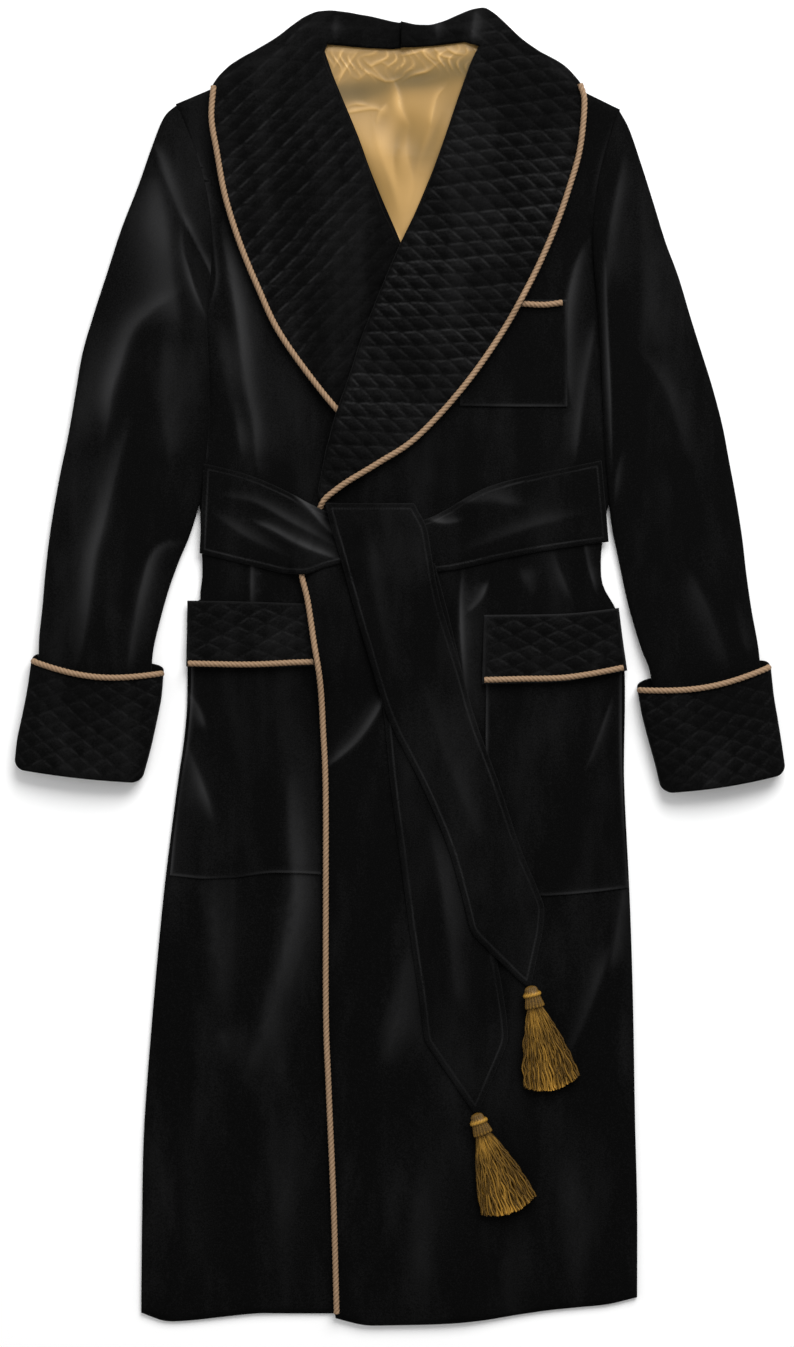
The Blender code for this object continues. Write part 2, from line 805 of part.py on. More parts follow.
# The right front and all that is sewn on it.
right_edge = [(x, y) for y, _, x in FRONT_EDGES]
left_edge = [(x, y) for y, x, _ in FRONT_EDGES]
right_front = joined(
    spline([(-75, 604), tuple(arm_seam(RIGHT_SLEEVE, ARM_GAP)[0])], 32),
    arm_seam(RIGHT_SLEEVE, ARM_GAP),
    spline(np.column_stack([sides[1:, 1], sides[1:, 0]]), 32),
    spline(RIGHT_HEM + [(66, -627)], 30),
    spline(right_edge[::-1], 32),
)
sheet("front_right", right_front, VELVET, black, 40, folds=RIGHT_FRONT_FOLDS)
pocket_right = joined(
    spline([(-202, 20), (-204, -53), (-211, -102), (-220, -170), (-223, -203)], 30),
    spline([(-223, -203), (-175, -207), (-120, -200), (-62, -203)], 30),
    spline([(-62, -203), (-62, 20)], 40),
    spline([(-62, 20), (-202, 20)], 40),
)
sheet("pocket_right", pocket_right, VELVET, black, 40)
band_right = joined(
    spline([(-206, 64), (-150, 63), (-62, 60)], 20),
    spline([(-62, 60), (-62, 1)], 20),
    spline([(-62, 1), (-146, -1), (-207, 0)], 20),
    spline([(-207, 0), (-206, 64)], 20),
)
sheet("pocket_band_right", band_right, QUILT, quilted, lattice=((-206, 62), 4, *BAND_DIAMOND))
cord("piping_pocket_right", [(-205, 3), (-146, 2), (-100, 4), (-66, 5)], rope, 13)
half_collar(RIGHT_COLLAR, ((-183, 540), 18.0, *LAPEL_DIAMOND), "collar_right", quilted)
outer = np.array(RIGHT_COLLAR, float)[5:17, 2:]
shifted = outer + np.array([(3.2, 1.0)])
cord("piping_collar_right", shifted[:9], rope, 16)

# The left front, on top.
left_front = joined(
    spline([(78, 604), tuple(arm_seam(LEFT_SLEEVE, ARM_GAP)[0])], 32),
    arm_seam(LEFT_SLEEVE, ARM_GAP),
    spline(np.column_stack([sides[1:, 2], sides[1:, 0]]), 32),
    spline(LEFT_HEM[::-1], 30),
    spline(left_edge[::-1], 32),
)
sheet("front_left", left_front, VELVET, black, 38, folds=LEFT_FRONT_FOLDS)
breast = joined(
    spline([(58, 357), (163, 356)], 30),
    spline([(163, 356), (163, 252)], 30),
    spline([(163, 252), (58, 252)], 30),
    spline([(58, 252), (58, 357)], 30),
)
sheet("breast_pocket", breast, VELVET, black, 34)
cord("piping_breast", [(118, 352), (140, 352), (158, 354)], rope, 13)
pocket_left = joined(
    spline([(84, 6), (83, -120), (84, -222)], 36),
    spline([(84, -222), (142, -223), (190, -219), (222, -215)], 30),
    spline([(222, -215), (218, -150), (216, -80), (216, 6)], 36),
    spline([(216, 6), (84, 6)], 36),
)
sheet("pocket_left", pocket_left, VELVET, black, 40)
band_left = joined(
    spline([(82, 50), (156, 51), (190, 54), (213, 57)], 20),
    spline([(213, 57), (217, 25), (221, -4)], 20),
    spline([(221, -4), (186, -10), (156, -15), (80, -17)], 20),
    spline([(80, -17), (82, 50)], 20),
)
sheet("pocket_band_left", band_left, QUILT, quilted, lattice=((82, 50), -4, *BAND_DIAMOND))
cord("piping_pocket_left", [(82, -13), (117, -12), (156, -11), (186, -7), (217, -1)], rope, 11)
half_collar(LEFT_COLLAR, ((178, 540), -18.0, *LAPEL_DIAMOND), "collar_left", quilted)
outer = np.array(LEFT_COLLAR, float)[6:, 2:]
down_edge = [(-84, 140), (-93, 112), (-95, 91), (-89, 64), (-83, 25), (-78, -14)]
down_edge += [(-75, -63), (-73, -131), (-73, -326), (-70, -404), (-64, -521), (-61, -628)]
cord("piping_left", np.vstack([outer + np.array([(-3.0, 1.5)]), down_edge]), rope, 18)

# Sleeves and cuffs.
tube("sleeve_right", RIGHT_SLEEVE, VELVET, black, 12, 6, RIGHT_SLEEVE_FOLDS)
tube("sleeve_left", LEFT_SLEEVE, VELVET, black, 12, 6, LEFT_SLEEVE_FOLDS)
for side, rows in (("right", RIGHT_CUFF), ("left", LEFT_CUFF)):
    rows = np.array(rows, float)
    at = np.linspace(0, len(rows) - 1, 13)
    fine = np.column_stack([np.interp(at, range(len(rows)), column) for column in rows.T])
    rings = [(*row, CUFF_TALL, CUFF_EDGE, 0.0) for row in fine]
    tube("cuff_" + side, rings, CUFF_WALL, quilted, 12, 6, rise=QUILT_RISE)
    cuff_cord("piping_cuff_" + side, rings[0], rope)

# The belt: two stretches at the waist, then the ends that hang from its knot.
for name, rows, folds in (
    ("belt_waist_left", LEFT_WAIST, LEFT_WAIST_FOLDS),
    ("belt_waist_right", RIGHT_WAIST, RIGHT_WAIST_FOLDS),
):
    rows = np.array(rows, float)
    outline = joined(spline(rows[:, :2], 20), spline(rows[::-1, 2:], 20))
    sheet(name, outline, BELT, black, 24, folds=folds)


def over_knot(points):
    """How far the upper end stands up where it comes over the knot."""
    return KNOT_RISE * np.exp(-(((points[:, 1] - KNOT_Y) / KNOT_REACH) ** 2))


for name, rows, bump in (("belt_end_lower", LOWER_END, None), ("belt_end_upper", UPPER_END, over_knot)):
    rows = np.array(rows, float)
    left = spline(rows[:-1, [1, 0]], 26)
    right = spline(rows[:-1, [2, 0]], 26)
    tip = [(rows[-1, 1], rows[-1, 0]), (rows[-1, 2], rows[-1, 0])]
    outline = joined(left, tip, right[::-1])
    sheet(name, outline, BELT, black, 30, bump=bump)


def tassel(name, root, tip, wide, look):
    """A bound head with locks fused into it, which fan out flat below."""
    root, tip = np.array(root, float), np.array(tip, float)
    along = (tip - root) / np.linalg.norm(tip - root)
    across = np.array([-along[1], along[0]])
    length = np.linalg.norm(tip - root)
    spread = [
        root + along * d + across * s * (8.0 + (wide - 8.0) * max(d, 0.0) / length)
        for d in np.linspace(3.0, length, 24)
        for s in np.linspace(-0.5, 0.5, 16)
    ]
    base = pile.highest(np.array(spread), 2.0) + GAP
    corners, faces = [], []
    profile = [(-4.0, 2.3), (-1.0, 5.5), (3.0, 7.6), (7.0, 6.8)]
    profile += [(9.5, 5.4), (13.0, 7.0), (18.0, 7.8), (20.0, 7.2)]
    sides = 10
    for distance, radius in profile:
        for k in range(sides):
            turn = 2 * math.pi * (k + 0.5) / sides
            at = root + along * distance + across * math.cos(turn) * radius
            z = base + 6.2 + math.sin(turn) * min(radius, 6.0) * 1.02
            corners.append((at[0], at[1], z))
    for i in range(len(profile) - 1):
        for k in range(sides):
            a, b = i * sides + k, i * sides + (k + 1) % sides
            faces.append((a, b, b + sides, a + sides))
    faces.append(tuple(range(sides))[::-1])
    faces.append(tuple((len(profile) - 1) * sides + k for k in range(sides)))
    head = add_object(name, corners, faces, look)
    locks, skin = [], []
    for layer, count in enumerate((11, 12, 11)):
        for k in range(count):
            share = (k + 0.5) / count - 0.5
            if layer == 1:
                share = k / (count - 1) - 0.5
            reach = length * (1.0 - 0.03 * ((k * 7 + layer * 3) % 5)) - 5 * abs(share)
            start = root + along * 14.5 + across * share * 9.6
            end = root + along * reach + across * share * wide
            turn = end - start
            side = np.array([-turn[1], turn[0]]) / np.linalg.norm(turn)
            level = base + 2.7 + layer * 3.0
            first = len(locks)
            for at, half, drop in ((start, 0.32, 0.0), (start * 0.5 + end * 0.5, 1.35, 0.4), (end, 2.1, 1.4)):
                z = level - drop * (layer + 0.6) * 0.55
                tall = 0.55 + half * 0.62
                locks.append((*(at - side * half), z))
                locks.append((*(at + side * half), z))
                locks.append((*at, z + tall))
            for step in (0, 3):
                for m in range(3):
                    n = (m + 1) % 3
                    ring = first + step
                    skin.append((ring + m, ring + n, ring + n + 3, ring + m + 3))
            skin.append((first, first + 2, first + 1))
            skin.append((first + 6, first + 7, first + 8))
    lock = add_object(name + "_locks", locks, skin, look)
    for thing in (head, lock):
        if volume(thing) < 0:
            thing.data.flip_normals()
    lock.hide_render = True
    lock.display_type = "WIRE"
    join = head.modifiers.new("locks", "BOOLEAN")
    join.operation = "UNION"
    join.solver = "EXACT"
    join.object = lock
    return head


tassel("tassel_upper", (126.5, -316.8), (149, -408), 58, silk)
tassel("tassel_lower", (75.2, -436.6), (108, -531), 58, silk)

for thing in bpy.data.objects:
    if thing.type == "MESH" and volume(thing) < 0:
        thing.data.flip_normals()
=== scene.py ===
"""Looks for a long velvet smoking jacket that is laid flat on its back.

Lengths in the tables are millimetres. X is across the jacket, Y from hem to collar, Z up.
"""

import math
import random

import bmesh
import bpy
import numpy as np
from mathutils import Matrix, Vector


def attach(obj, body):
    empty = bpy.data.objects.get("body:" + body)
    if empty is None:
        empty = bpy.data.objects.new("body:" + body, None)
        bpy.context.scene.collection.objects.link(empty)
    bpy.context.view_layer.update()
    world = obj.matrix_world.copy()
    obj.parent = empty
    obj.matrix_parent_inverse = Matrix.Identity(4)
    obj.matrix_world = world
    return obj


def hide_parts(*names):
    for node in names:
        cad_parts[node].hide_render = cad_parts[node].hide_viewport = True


MM = 0.001

# The photo's size in pixels, the pixel over the part's origin, and a pixel's real size.
PHOTO = (794, 1347)
PHOTO_MIDDLE = (399.5, 665.5)
PHOTO_PIXEL = 0.975

# The grid that keeps the height of the pile of cloth, and the gap between two layers.
CELL = 2.0
CORNER = np.array([-400.0, -670.0])
CELLS = (400, 670)
GAP = 0.4

# How thick each cloth is, and the wall of a sleeve or cuff.
VELVET = 2.0
QUILT = 3.2
BELT = 2.6
SATIN = 0.8
HIP_POCKET = 1.6
BREAST_POCKET = 1.5
SLEEVE_WALL = 1.5

# The share of a panel's thickness that its wall has, and the share that its worn edge sinks by.
WALL_SHARE = 0.75
EDGE_SINK = 0.55

# How finely cloth is cut beside its rim, and the finest that it is cut beside a fold.
RIM_MESH = 1.8
FOLD_MESH = 1.6

# Piping: its radius, the length of one turn of its twist, its yarns, and how finely it is drawn.
CORD = 3.0
CORD_TURN = 13.0
CORD_YARNS = 3
CORD_SIDES = 15
CORD_STEP = 1.1

# The collar: the x of the seam behind the neck and the y from which its halves meet there, the y of the
# neck's own seam, and those from which the halves' seam isn't worn and the stand has fewer stitches.
NECK_MIDDLE = 1.5
COLLAR_JOIN = 595.0
NECK_SEAM = 600.0
SEAM_FOOT = 604.0
STAND_FOOT = 596.0

# Sleeves and cuffs: how far their hem's corners are rounded, the share of the columns on top, and how
# much further a cuff's under layer reaches at its opening.
HEM_CORNER = 11.0
TOP_SHARE = 0.64
CUFF_LIP = 16.0

# Tassels: the yarns in each, their radius, the layers they lie in, the steps along each, and how far
# below the root they start.
YARNS = 150
YARN = 0.68
YARN_LAYERS = 4
YARN_STEPS = 22
TASSEL_NECK = 14.0

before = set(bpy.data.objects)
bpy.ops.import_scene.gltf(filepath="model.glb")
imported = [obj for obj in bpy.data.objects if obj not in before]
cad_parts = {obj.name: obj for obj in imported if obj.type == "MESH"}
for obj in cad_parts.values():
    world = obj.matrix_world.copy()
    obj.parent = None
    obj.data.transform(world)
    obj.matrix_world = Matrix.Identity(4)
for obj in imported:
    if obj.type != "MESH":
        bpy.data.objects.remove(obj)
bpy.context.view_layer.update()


# Materials


def colour(hexed):
    """An sRGB hex value as linear numbers, opaque."""
    values = [int(hexed[i : i + 2], 16) / 255 for i in (0, 2, 4)]
    flat = [v / 12.92 if v <= 0.04045 else ((v + 0.055) / 1.055) ** 2.4 for v in values]
    return (*flat, 1.0)


def add(tree, kind, settings=(), **links):
    """A node with its settings, and its inputs linked from the sockets given by name."""
    node = tree.nodes.new(kind)
    for name, value in dict(settings).items():
        if name in node.inputs:
            node.inputs[name].default_value = value
        else:
            setattr(node, name, value)
    for name, socket in links.items():
        tree.links.new(socket, node.inputs[name.replace("_", " ")])
    return node


def ramp(tree, source, stops):
    """A colour ramp over a 0 to 1 value."""
    node = add(tree, "ShaderNodeValToRGB", {}, Fac=source)
    while len(node.color_ramp.elements) < len(stops):
        node.color_ramp.elements.new(0.5)
    for element, (at, shade) in zip(node.color_ramp.elements, stops):
        element.position = at
        element.color = colour(shade)
    return node.outputs["Color"]


def shader_of(name):
    """A new material, its node tree and its shader."""
    made = bpy.data.materials.new(name)
    made.use_nodes = True
    tree = made.node_tree
    return made, tree, tree.nodes["Principled BSDF"]


def velvet(name, deep, lifted, relief):
    """Cotton velvet: a dense cut pile, near black face on, with painted highlights at folds and stitches."""
    made, tree, shader = shader_of(name)
    where = add(tree, "ShaderNodeTexCoord").outputs["Object"]
    # The attribute holds highlights painted along folds, stitches and edges.
    painted_light_and_tone = add(tree, "ShaderNodeAttribute", {"attribute_name": "painted_light_and_tone"}).outputs["Fac"]
    # Patches some 60 mm across where a hand has brushed the pile.
    drawn = add(tree, "ShaderNodeMapping", {"Scale": (1.0, 0.3, 1.0)}, Vector=where).outputs["Vector"]
    brushed = add(tree, "ShaderNodeTexNoise", {"Scale": 22.0, "Detail": 3.0, "Roughness": 0.6}, Vector=drawn)
    # Pile tufts are 0.3 mm apart; drawn at 1.2 mm, because finer ones don't show.
    tufts = add(tree, "ShaderNodeTexNoise", {"Scale": 800.0, "Detail": 2.0}, Vector=where)
    patch = add(
        tree,
        "ShaderNodeMapRange",
        {"From Min": 0.45, "From Max": 0.8, "To Max": 0.05},
        Value=brushed.outputs["Fac"],
    )
    grain = add(
        tree,
        "ShaderNodeMapRange",
        {"From Min": 0.3, "From Max": 0.7, "To Min": -0.02, "To Max": 0.02},
        Value=tufts.outputs["Fac"],
    )
    total = add(tree, "ShaderNodeMath", {"operation": "ADD"})
    tree.links.new(painted_light_and_tone, total.inputs[0])
    tree.links.new(patch.outputs["Result"], total.inputs[1])
    both = add(tree, "ShaderNodeMath", {"operation": "ADD", "use_clamp": True})
    tree.links.new(total.outputs[0], both.inputs[0])
    tree.links.new(grain.outputs["Result"], both.inputs[1])
    # The ramp goes from the pile's near black to the grey of the painted highlights.
    tree.links.new(ramp(tree, both.outputs[0], [(0.0, deep), (1.0, lifted)]), shader.inputs["Base Color"])
    bump = add(tree, "ShaderNodeBump", {"Strength": relief, "Distance": 0.0006}, Height=tufts.outputs["Fac"])
    tree.links.new(bump.outputs["Normal"], shader.inputs["Normal"])
    shader.inputs["Roughness"].default_value = 0.9
    shader.inputs["Specular IOR Level"].default_value = 0.05
    shader.inputs["Sheen Weight"].default_value = 0.02
    shader.inputs["Sheen Roughness"].default_value = 0.3
    shader.inputs["Sheen Tint"].default_value = colour("D6D6D6")
    return made


def satin(name):
    """Acetate satin: long floats that reflect and crease sharply, with painted bands of highlight and shade.
    """
    made, tree, shader = shader_of(name)
    where = add(tree, "ShaderNodeTexCoord").outputs["Object"]
    # The attribute holds painted highlight and shade over the gold's middle tone.
    tone = add(tree, "ShaderNodeAttribute", {"attribute_name": "painted_light_and_tone"}).outputs["Fac"]
    shades = [(0.0, "40371A"), (0.3, "705A30"), (0.52, "987844"), (0.75, "BE985E"), (1.0, "F0DCA8")]
    tree.links.new(ramp(tree, tone, shades), shader.inputs["Base Color"])
    # Warp floats 0.4 mm apart, drawn at 1 mm.
    drawn = add(tree, "ShaderNodeMapping", {"Scale": (1000.0, 40.0, 1000.0)}, Vector=where).outputs["Vector"]
    floats = add(tree, "ShaderNodeTexNoise", {"Scale": 1.0, "Detail": 2.0}, Vector=drawn)
    bump = add(tree, "ShaderNodeBump", {"Strength": 0.12, "Distance": 0.0003}, Height=floats.outputs["Fac"])
    tree.links.new(bump.outputs["Normal"], shader.inputs["Normal"])
    shader.inputs["Roughness"].default_value = 0.42
    shader.inputs["Specular IOR Level"].default_value = 0.3
    shader.inputs["Anisotropic"].default_value = 0.4
    shader.inputs["Sheen Weight"].default_value = 0.05
    return made


def yarn(name, dark, light, roughness, scale):
    """Viscose yarn, spun and twisted hard: bright filaments with dark between them."""
    made, tree, shader = shader_of(name)
    where = add(tree, "ShaderNodeTexCoord").outputs["Object"]
    # The attribute holds each yarn's own tone, and painted highlight and shade.
    tone = add(tree, "ShaderNodeAttribute", {"attribute_name": "painted_light_and_tone"}).outputs["Fac"]
    # Filaments about 0.5 mm apart.
    fibre = add(tree, "ShaderNodeTexNoise", {"Scale": scale, "Detail": 3.0, "Roughness": 0.7}, Vector=where)
    mixed = add(tree, "ShaderNodeMath", {"operation": "MULTIPLY_ADD", "use_clamp": True})
    tree.links.new(fibre.outputs["Fac"], mixed.inputs[0])
    mixed.inputs[1].default_value = 0.5
    tree.links.new(tone, mixed.inputs[2])
    tree.links.new(ramp(tree, mixed.outputs[0], [(0.15, dark), (0.85, light)]), shader.inputs["Base Color"])
    bump = add(tree, "ShaderNodeBump", {"Strength": 0.35, "Distance": 0.0004}, Height=fibre.outputs["Fac"])
    tree.links.new(bump.outputs["Normal"], shader.inputs["Normal"])
    shader.inputs["Roughness"].default_value = roughness
    shader.inputs["Specular IOR Level"].default_value = 0.2
    return made


COTTON_VELVET = velvet("black_cotton_velvet", "040404", "5A5A5B", 0.25)
QUILTED_VELVET = velvet("quilted_black_cotton_velvet", "040404", "5C5C5D", 0.25)
GOLD_SATIN = satin("gold_acetate_satin")
TWISTED_CORD = yarn("gold_twisted_viscose_cord", "523D28", "997D62", 0.6, 900.0)
TASSEL_YARN = yarn("dark_gold_viscose_tassel_yarn", "1C1204", "B88A36", 0.45, 1100.0)


# Laying cloth on cloth: heights, curves, folds and meshes


class Pile:
    """The height of the top of all that is laid so far."""

    def __init__(self):
        self.top = np.zeros(CELLS)

    def cell(self, at):
        """The grid's cells under some points."""
        where = ((at - CORNER) / CELL).astype(int)
        return np.clip(where[:, 0], 0, CELLS[0] - 1), np.clip(where[:, 1], 0, CELLS[1] - 1)

    def spots(self, plan, corners):
        """Points at each triangle's corners, edge middles and centre, and the share of each corner there."""
        ends = [(1, 0, 0), (0, 1, 0), (0, 0, 1)]
        middles = [(0.5, 0.5, 0), (0, 0.5, 0.5), (0.5, 0, 0.5)]
        shares = np.array(ends + middles + [(1 / 3, 1 / 3, 1 / 3)])
        return np.einsum("sk,tkd->tsd", shares, plan[corners]), shares

    def need(self, plan, corners):
        """The least height of each point, for its triangles to clear what lies below."""
        high = self.top
        for axis in (0, 1):
            high = np.maximum(high, np.maximum(np.roll(high, 1, axis), np.roll(high, -1, axis)))
        spots, _ = self.spots(plan, corners)
        found = high[self.cell(spots.reshape(-1, 2))].reshape(len(corners), -1).max(axis=1)
        found = np.where(found > 0, found + GAP, 0.0)
        least = np.zeros(len(plan))
        for side in range(3):
            np.maximum.at(least, corners[:, side], found)
        return least

    def mark(self, plan, corners, height):
        """Raise the pile to these triangles."""
        spots, shares = self.spots(plan, corners)
        tall = np.einsum("sk,tk->ts", shares, height[corners])
        np.maximum.at(self.top, self.cell(spots.reshape(-1, 2)), tall.reshape(-1))

    def over(self, points, radius):
        """The top of the pile near each point of a line."""
        found = np.zeros(len(points))
        for dx in np.arange(-radius, radius + 0.1, 1.0):
            for dy in np.arange(-radius, radius + 0.1, 1.0):
                if dx * dx + dy * dy <= radius * radius:
                    found = np.maximum(found, self.top[self.cell(points + (dx, dy))])
        return found


pile = Pile()


def with_ends(points):
    """The points, and one more past each end."""
    return np.vstack([2 * points[0] - points[1], points, 2 * points[-1] - points[-2]])


def between(a, b, c, d, t):
    """The place at share t from b to c, on a smooth curve that comes from a and goes on to d."""
    bend = 2 * a - 5 * b + 4 * c - d
    turn = 3 * b - a - 3 * c + d
    return 0.5 * (2 * b + (c - a) * t + bend * t**2 + turn * t**3)


def along(points, step):
    """Points at about this step along a smooth curve through the given ones."""
    points = np.asarray(points, float)
    if len(points) == 2:
        part = np.linspace(0, 1, 12)[:, None]
        return points[0] * (1 - part) + points[1] * part
    ends = with_ends(points)
    shares = np.linspace(0, 1, 12, endpoint=False)
    fine = [between(*four, t) for four in zip(ends, ends[1:], ends[2:], ends[3:]) for t in shares]
    fine = np.array([*fine, points[-1]])
    run = np.concatenate([[0.0], np.cumsum(np.linalg.norm(np.diff(fine, axis=0), axis=1))])
    at = np.linspace(0, run[-1], max(3, int(run[-1] / step) + 1))
    return np.column_stack([np.interp(at, run, column) for column in fine.T])


def to_stretch(plan, start, end):
    """Distance from each point to a straight stretch, and how far along that is, from 0 to 1."""
    way = end - start
    t = np.clip((plan - start) @ way / max(way @ way, 1e-9), 0, 1)
    return np.linalg.norm(plan - start - t[:, None] * way, axis=1), t


def nearest(plan, line):
    """Distance from each point to a line, and how far along the line that is, from 0 to 1."""
    least = np.full(len(plan), 1e9)
    where = np.zeros(len(plan))
    for i, (start, end) in enumerate(zip(line, line[1:])):
        gap, t = to_stretch(plan, start, end)
        closer = gap < least
        least = np.where(closer, gap, least)
        where = np.where(closer, (i + t) / (len(line) - 1), where)
    return least, where


def folds_at(plan, folds):
    """The lift of soft folds, and the highlight painted along them; a shine below zero paints shade.

    A row is width, rise, shine and the points of its crest. A fold with a width below zero breaks sharply
    on the left of its crest, and one above zero on the right. Both fall away softly on the other side.
    """
    lift = np.zeros(len(plan))
    shine = np.zeros(len(plan))
    for number, (width, rise, bright, crest) in enumerate(folds):
        line = along(crest, 5)
        gap, where = nearest(plan, line)
        close = gap < 5 * abs(width)
        if not close.any():
            continue
        gap, where = gap[close], where[close]
        step = np.minimum((where * (len(line) - 1)).astype(int), len(line) - 2)
        ahead = line[step + 1] - line[step]
        off = plan[close] - line[step]
        left = ahead[:, 0] * off[:, 1] - ahead[:, 1] * off[:, 0] > 0
        # Each fold fades at both ends, and swells and thins along its length.
        taper = np.sin(math.pi * np.clip(where, 0.02, 0.98)) ** 0.7
        swell = 0.8 + 0.2 * np.sin(where * 7.0 + number * 1.7)
        steep = np.where(left == (width < 0), 0.42, 1.4)
        wide = abs(width) * (0.55 + 0.45 * taper) * steep
        shape = np.exp(-((gap / wide) ** 2)) * taper
        glow = 0.7 * np.exp(-((gap / (wide * 0.75)) ** 2)) + 0.3 * np.exp(-((gap / (wide * 1.7)) ** 2))
        lift[close] += rise * shape * swell
        shine[close] += bright * glow * taper * swell
    return lift, shine


def long_edges(bm, longest):
    """The edges that are longer than this."""
    return [e for e in bm.edges if e.calc_length() > longest * MM]


def halve(bm, edges):
    """Cut edges in two, and the faces beside them into triangles."""
    bmesh.ops.subdivide_edges(bm, edges=edges, cuts=1)
    bmesh.ops.triangulate(bm, faces=[f for f in bm.faces if len(f.verts) > 3])


def refine_beside(bm, longest, reach, gap_to):
    """Cut the cloth finer where gap_to, a distance from points to some line, is within reach."""
    for _ in range(3):
        long = long_edges(bm, longest)
        if not long:
            break
        middles = np.array([((e.verts[0].co + e.verts[1].co) / 2).xy for e in long]) / MM
        picked = [e for e, away in zip(long, gap_to(middles)) if away < reach]
        if not picked:
            break
        halve(bm, picked)


def refine_near(bm, folds):
    """Cut the cloth finer beside its narrow folds."""
    for width, _, _, crest in folds:
        width = abs(width)
        if width > 9:
            continue
        line = along(crest, 8)
        refine_beside(bm, max(FOLD_MESH, width * 0.5), width * 1.4 + 2, lambda at: nearest(at, line)[0])
    bm.verts.index_update()


def refine_rim(bm, reach):
    """Cut the cloth finer beside its outline, where its stitches and its turned edge are."""
    outline = outline_of(bm)
    refine_beside(bm, RIM_MESH, reach, lambda at: from_edge(at, outline))
    bm.verts.index_update()


def is_corner(v, pair):
    """Whether the outline turns sharply here."""
    first, second = (w.co - v.co for w in pair)
    return first.angle(second, math.pi) < math.radians(128)


def skin(node, longest):
    """The upper faces of a CAD sheet, cut finer. Its outline is worn smooth between its corners."""
    bm = bmesh.new()
    bm.from_mesh(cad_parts[node].data)
    bmesh.ops.remove_doubles(bm, verts=bm.verts, dist=2e-5)
    bm.normal_update()
    under = [f for f in bm.faces if f.normal.z < 0.12]
    bmesh.ops.delete(bm, geom=under, context="FACES")
    for v in bm.verts:
        v.co.z = 0
    refine(bm, longest)
    rim = [v for v in bm.verts if v.is_boundary]
    beside = [[e.other_vert(v) for e in v.link_edges if e.is_boundary] for v in rim]
    loose = [(v, pair) for v, pair in zip(rim, beside) if not is_corner(v, pair)]
    for _ in range(max(2, int(20 / longest))):
        middles = [(pair[0].co + pair[1].co) / 2 for _, pair in loose]
        for (v, _), middle in zip(loose, middles):
            v.co = v.co.lerp(middle, 0.5)
    inner = [v for v in bm.verts if not v.is_boundary]
    for _ in range(3):
        bmesh.ops.smooth_vert(bm, verts=inner, factor=0.5, use_axis_x=True, use_axis_y=True, use_axis_z=False)
    return bm


def refine(bm, longest):
    """Cut all the cloth finer, into triangles as even as they get."""
    for _ in range(9):
        long = long_edges(bm, longest)
        if not long:
            break
        halve(bm, long)
    bmesh.ops.beautify_fill(bm, faces=bm.faces, edges=[e for e in bm.edges if not e.is_boundary])
    bm.verts.index_update()


def outline_of(bm):
    """The boundary edges as pairs of points, in millimetres."""
    return np.array([[v.co.xy for v in e.verts] for e in bm.edges if e.is_boundary]) / MM


def from_edge(plan, edges):
    """Distance from each point to the nearest of these edges."""
    least = np.full(len(plan), 1e9)
    for start, end in edges:
        least = np.minimum(least, to_stretch(plan, start, end)[0])
    return least


def finish_piece(bm, name, look, node, painted_light_and_tone, wall):
    """The mesh as a finished piece that replaces its CAD node, with a wall of this thickness or none."""
    mesh = bpy.data.meshes.new(name)
    bm.to_mesh(mesh)
    bm.free()
    for face in mesh.polygons:
        face.use_smooth = True
    # An attribute carries the painted highlight and shade, and any own tone, to the material.
    layer = mesh.attributes.new("painted_light_and_tone", "FLOAT", "POINT")
    layer.data.foreach_set("value", np.clip(painted_light_and_tone, 0, 1).astype(np.float32))
    mesh.materials.append(look)
    made = bpy.data.objects.new(name, mesh)
    bpy.context.scene.collection.objects.link(made)
    if wall:
        solid = made.modifiers.new("wall", "SOLIDIFY")
        solid.thickness = wall * MM
        solid.offset = -1.0
    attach(made, "root")
    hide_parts(node)
    return made


def cloth(node, thick, look, longest, folds=(), relief=None, ease=24, trim=None, rim=0.0):
    """A panel laid on the pile in the outline of its CAD node.

    Ease is how softly it comes down from what lies below. Trim moves its points in plan, and rim is how
    far in from its outline it is cut finer.
    """
    bm = skin(node, longest)
    refine_near(bm, folds)
    if rim:
        refine_rim(bm, rim)
    if trim is not None:
        for v in bm.verts:
            v.co = Vector((*trim(v.co.x / MM, v.co.y / MM, v.is_boundary), 0)) * MM
    plan = np.array([v.co.xy for v in bm.verts]) / MM
    corners = np.array([[v.index for v in f.verts] for f in bm.faces])
    edges = np.array([[v.index for v in e.verts] for e in bm.edges])
    need = pile.need(plan, corners)
    count = np.bincount(edges.reshape(-1), minlength=len(plan))
    height = need.copy()
    for _ in range(ease):
        total = np.bincount(edges[:, 0], height[edges[:, 1]], len(plan)) + np.bincount(
            edges[:, 1], height[edges[:, 0]], len(plan)
        )
        height = np.maximum(need, total / np.maximum(count, 1))
    edge_gap = from_edge(plan, outline_of(bm))
    lift, shine = folds_at(plan, folds)
    top = height + thick + lift * np.clip(edge_gap / 12 + 0.3, 0, 1)
    painted_light_and_tone = shine
    if relief is not None:
        rise, bright = relief(plan, edge_gap)
        top += rise
        painted_light_and_tone = painted_light_and_tone + bright
    joined = (np.abs(plan[:, 0] - NECK_MIDDLE) < 0.5) & (plan[:, 1] > SEAM_FOOT)
    top -= EDGE_SINK * thick * ((edge_gap < 0.5) & ~joined)
    top = np.maximum(top, WALL_SHARE * thick + 0.1)
    pile.mark(plan, corners, top)
    for v, z in zip(bm.verts, top):
        v.co.z = z * MM
    area = sum(f.calc_area() for f in bm.faces)
    made = finish_piece(bm, "cloth_" + node, look, node, painted_light_and_tone, thick * WALL_SHARE)


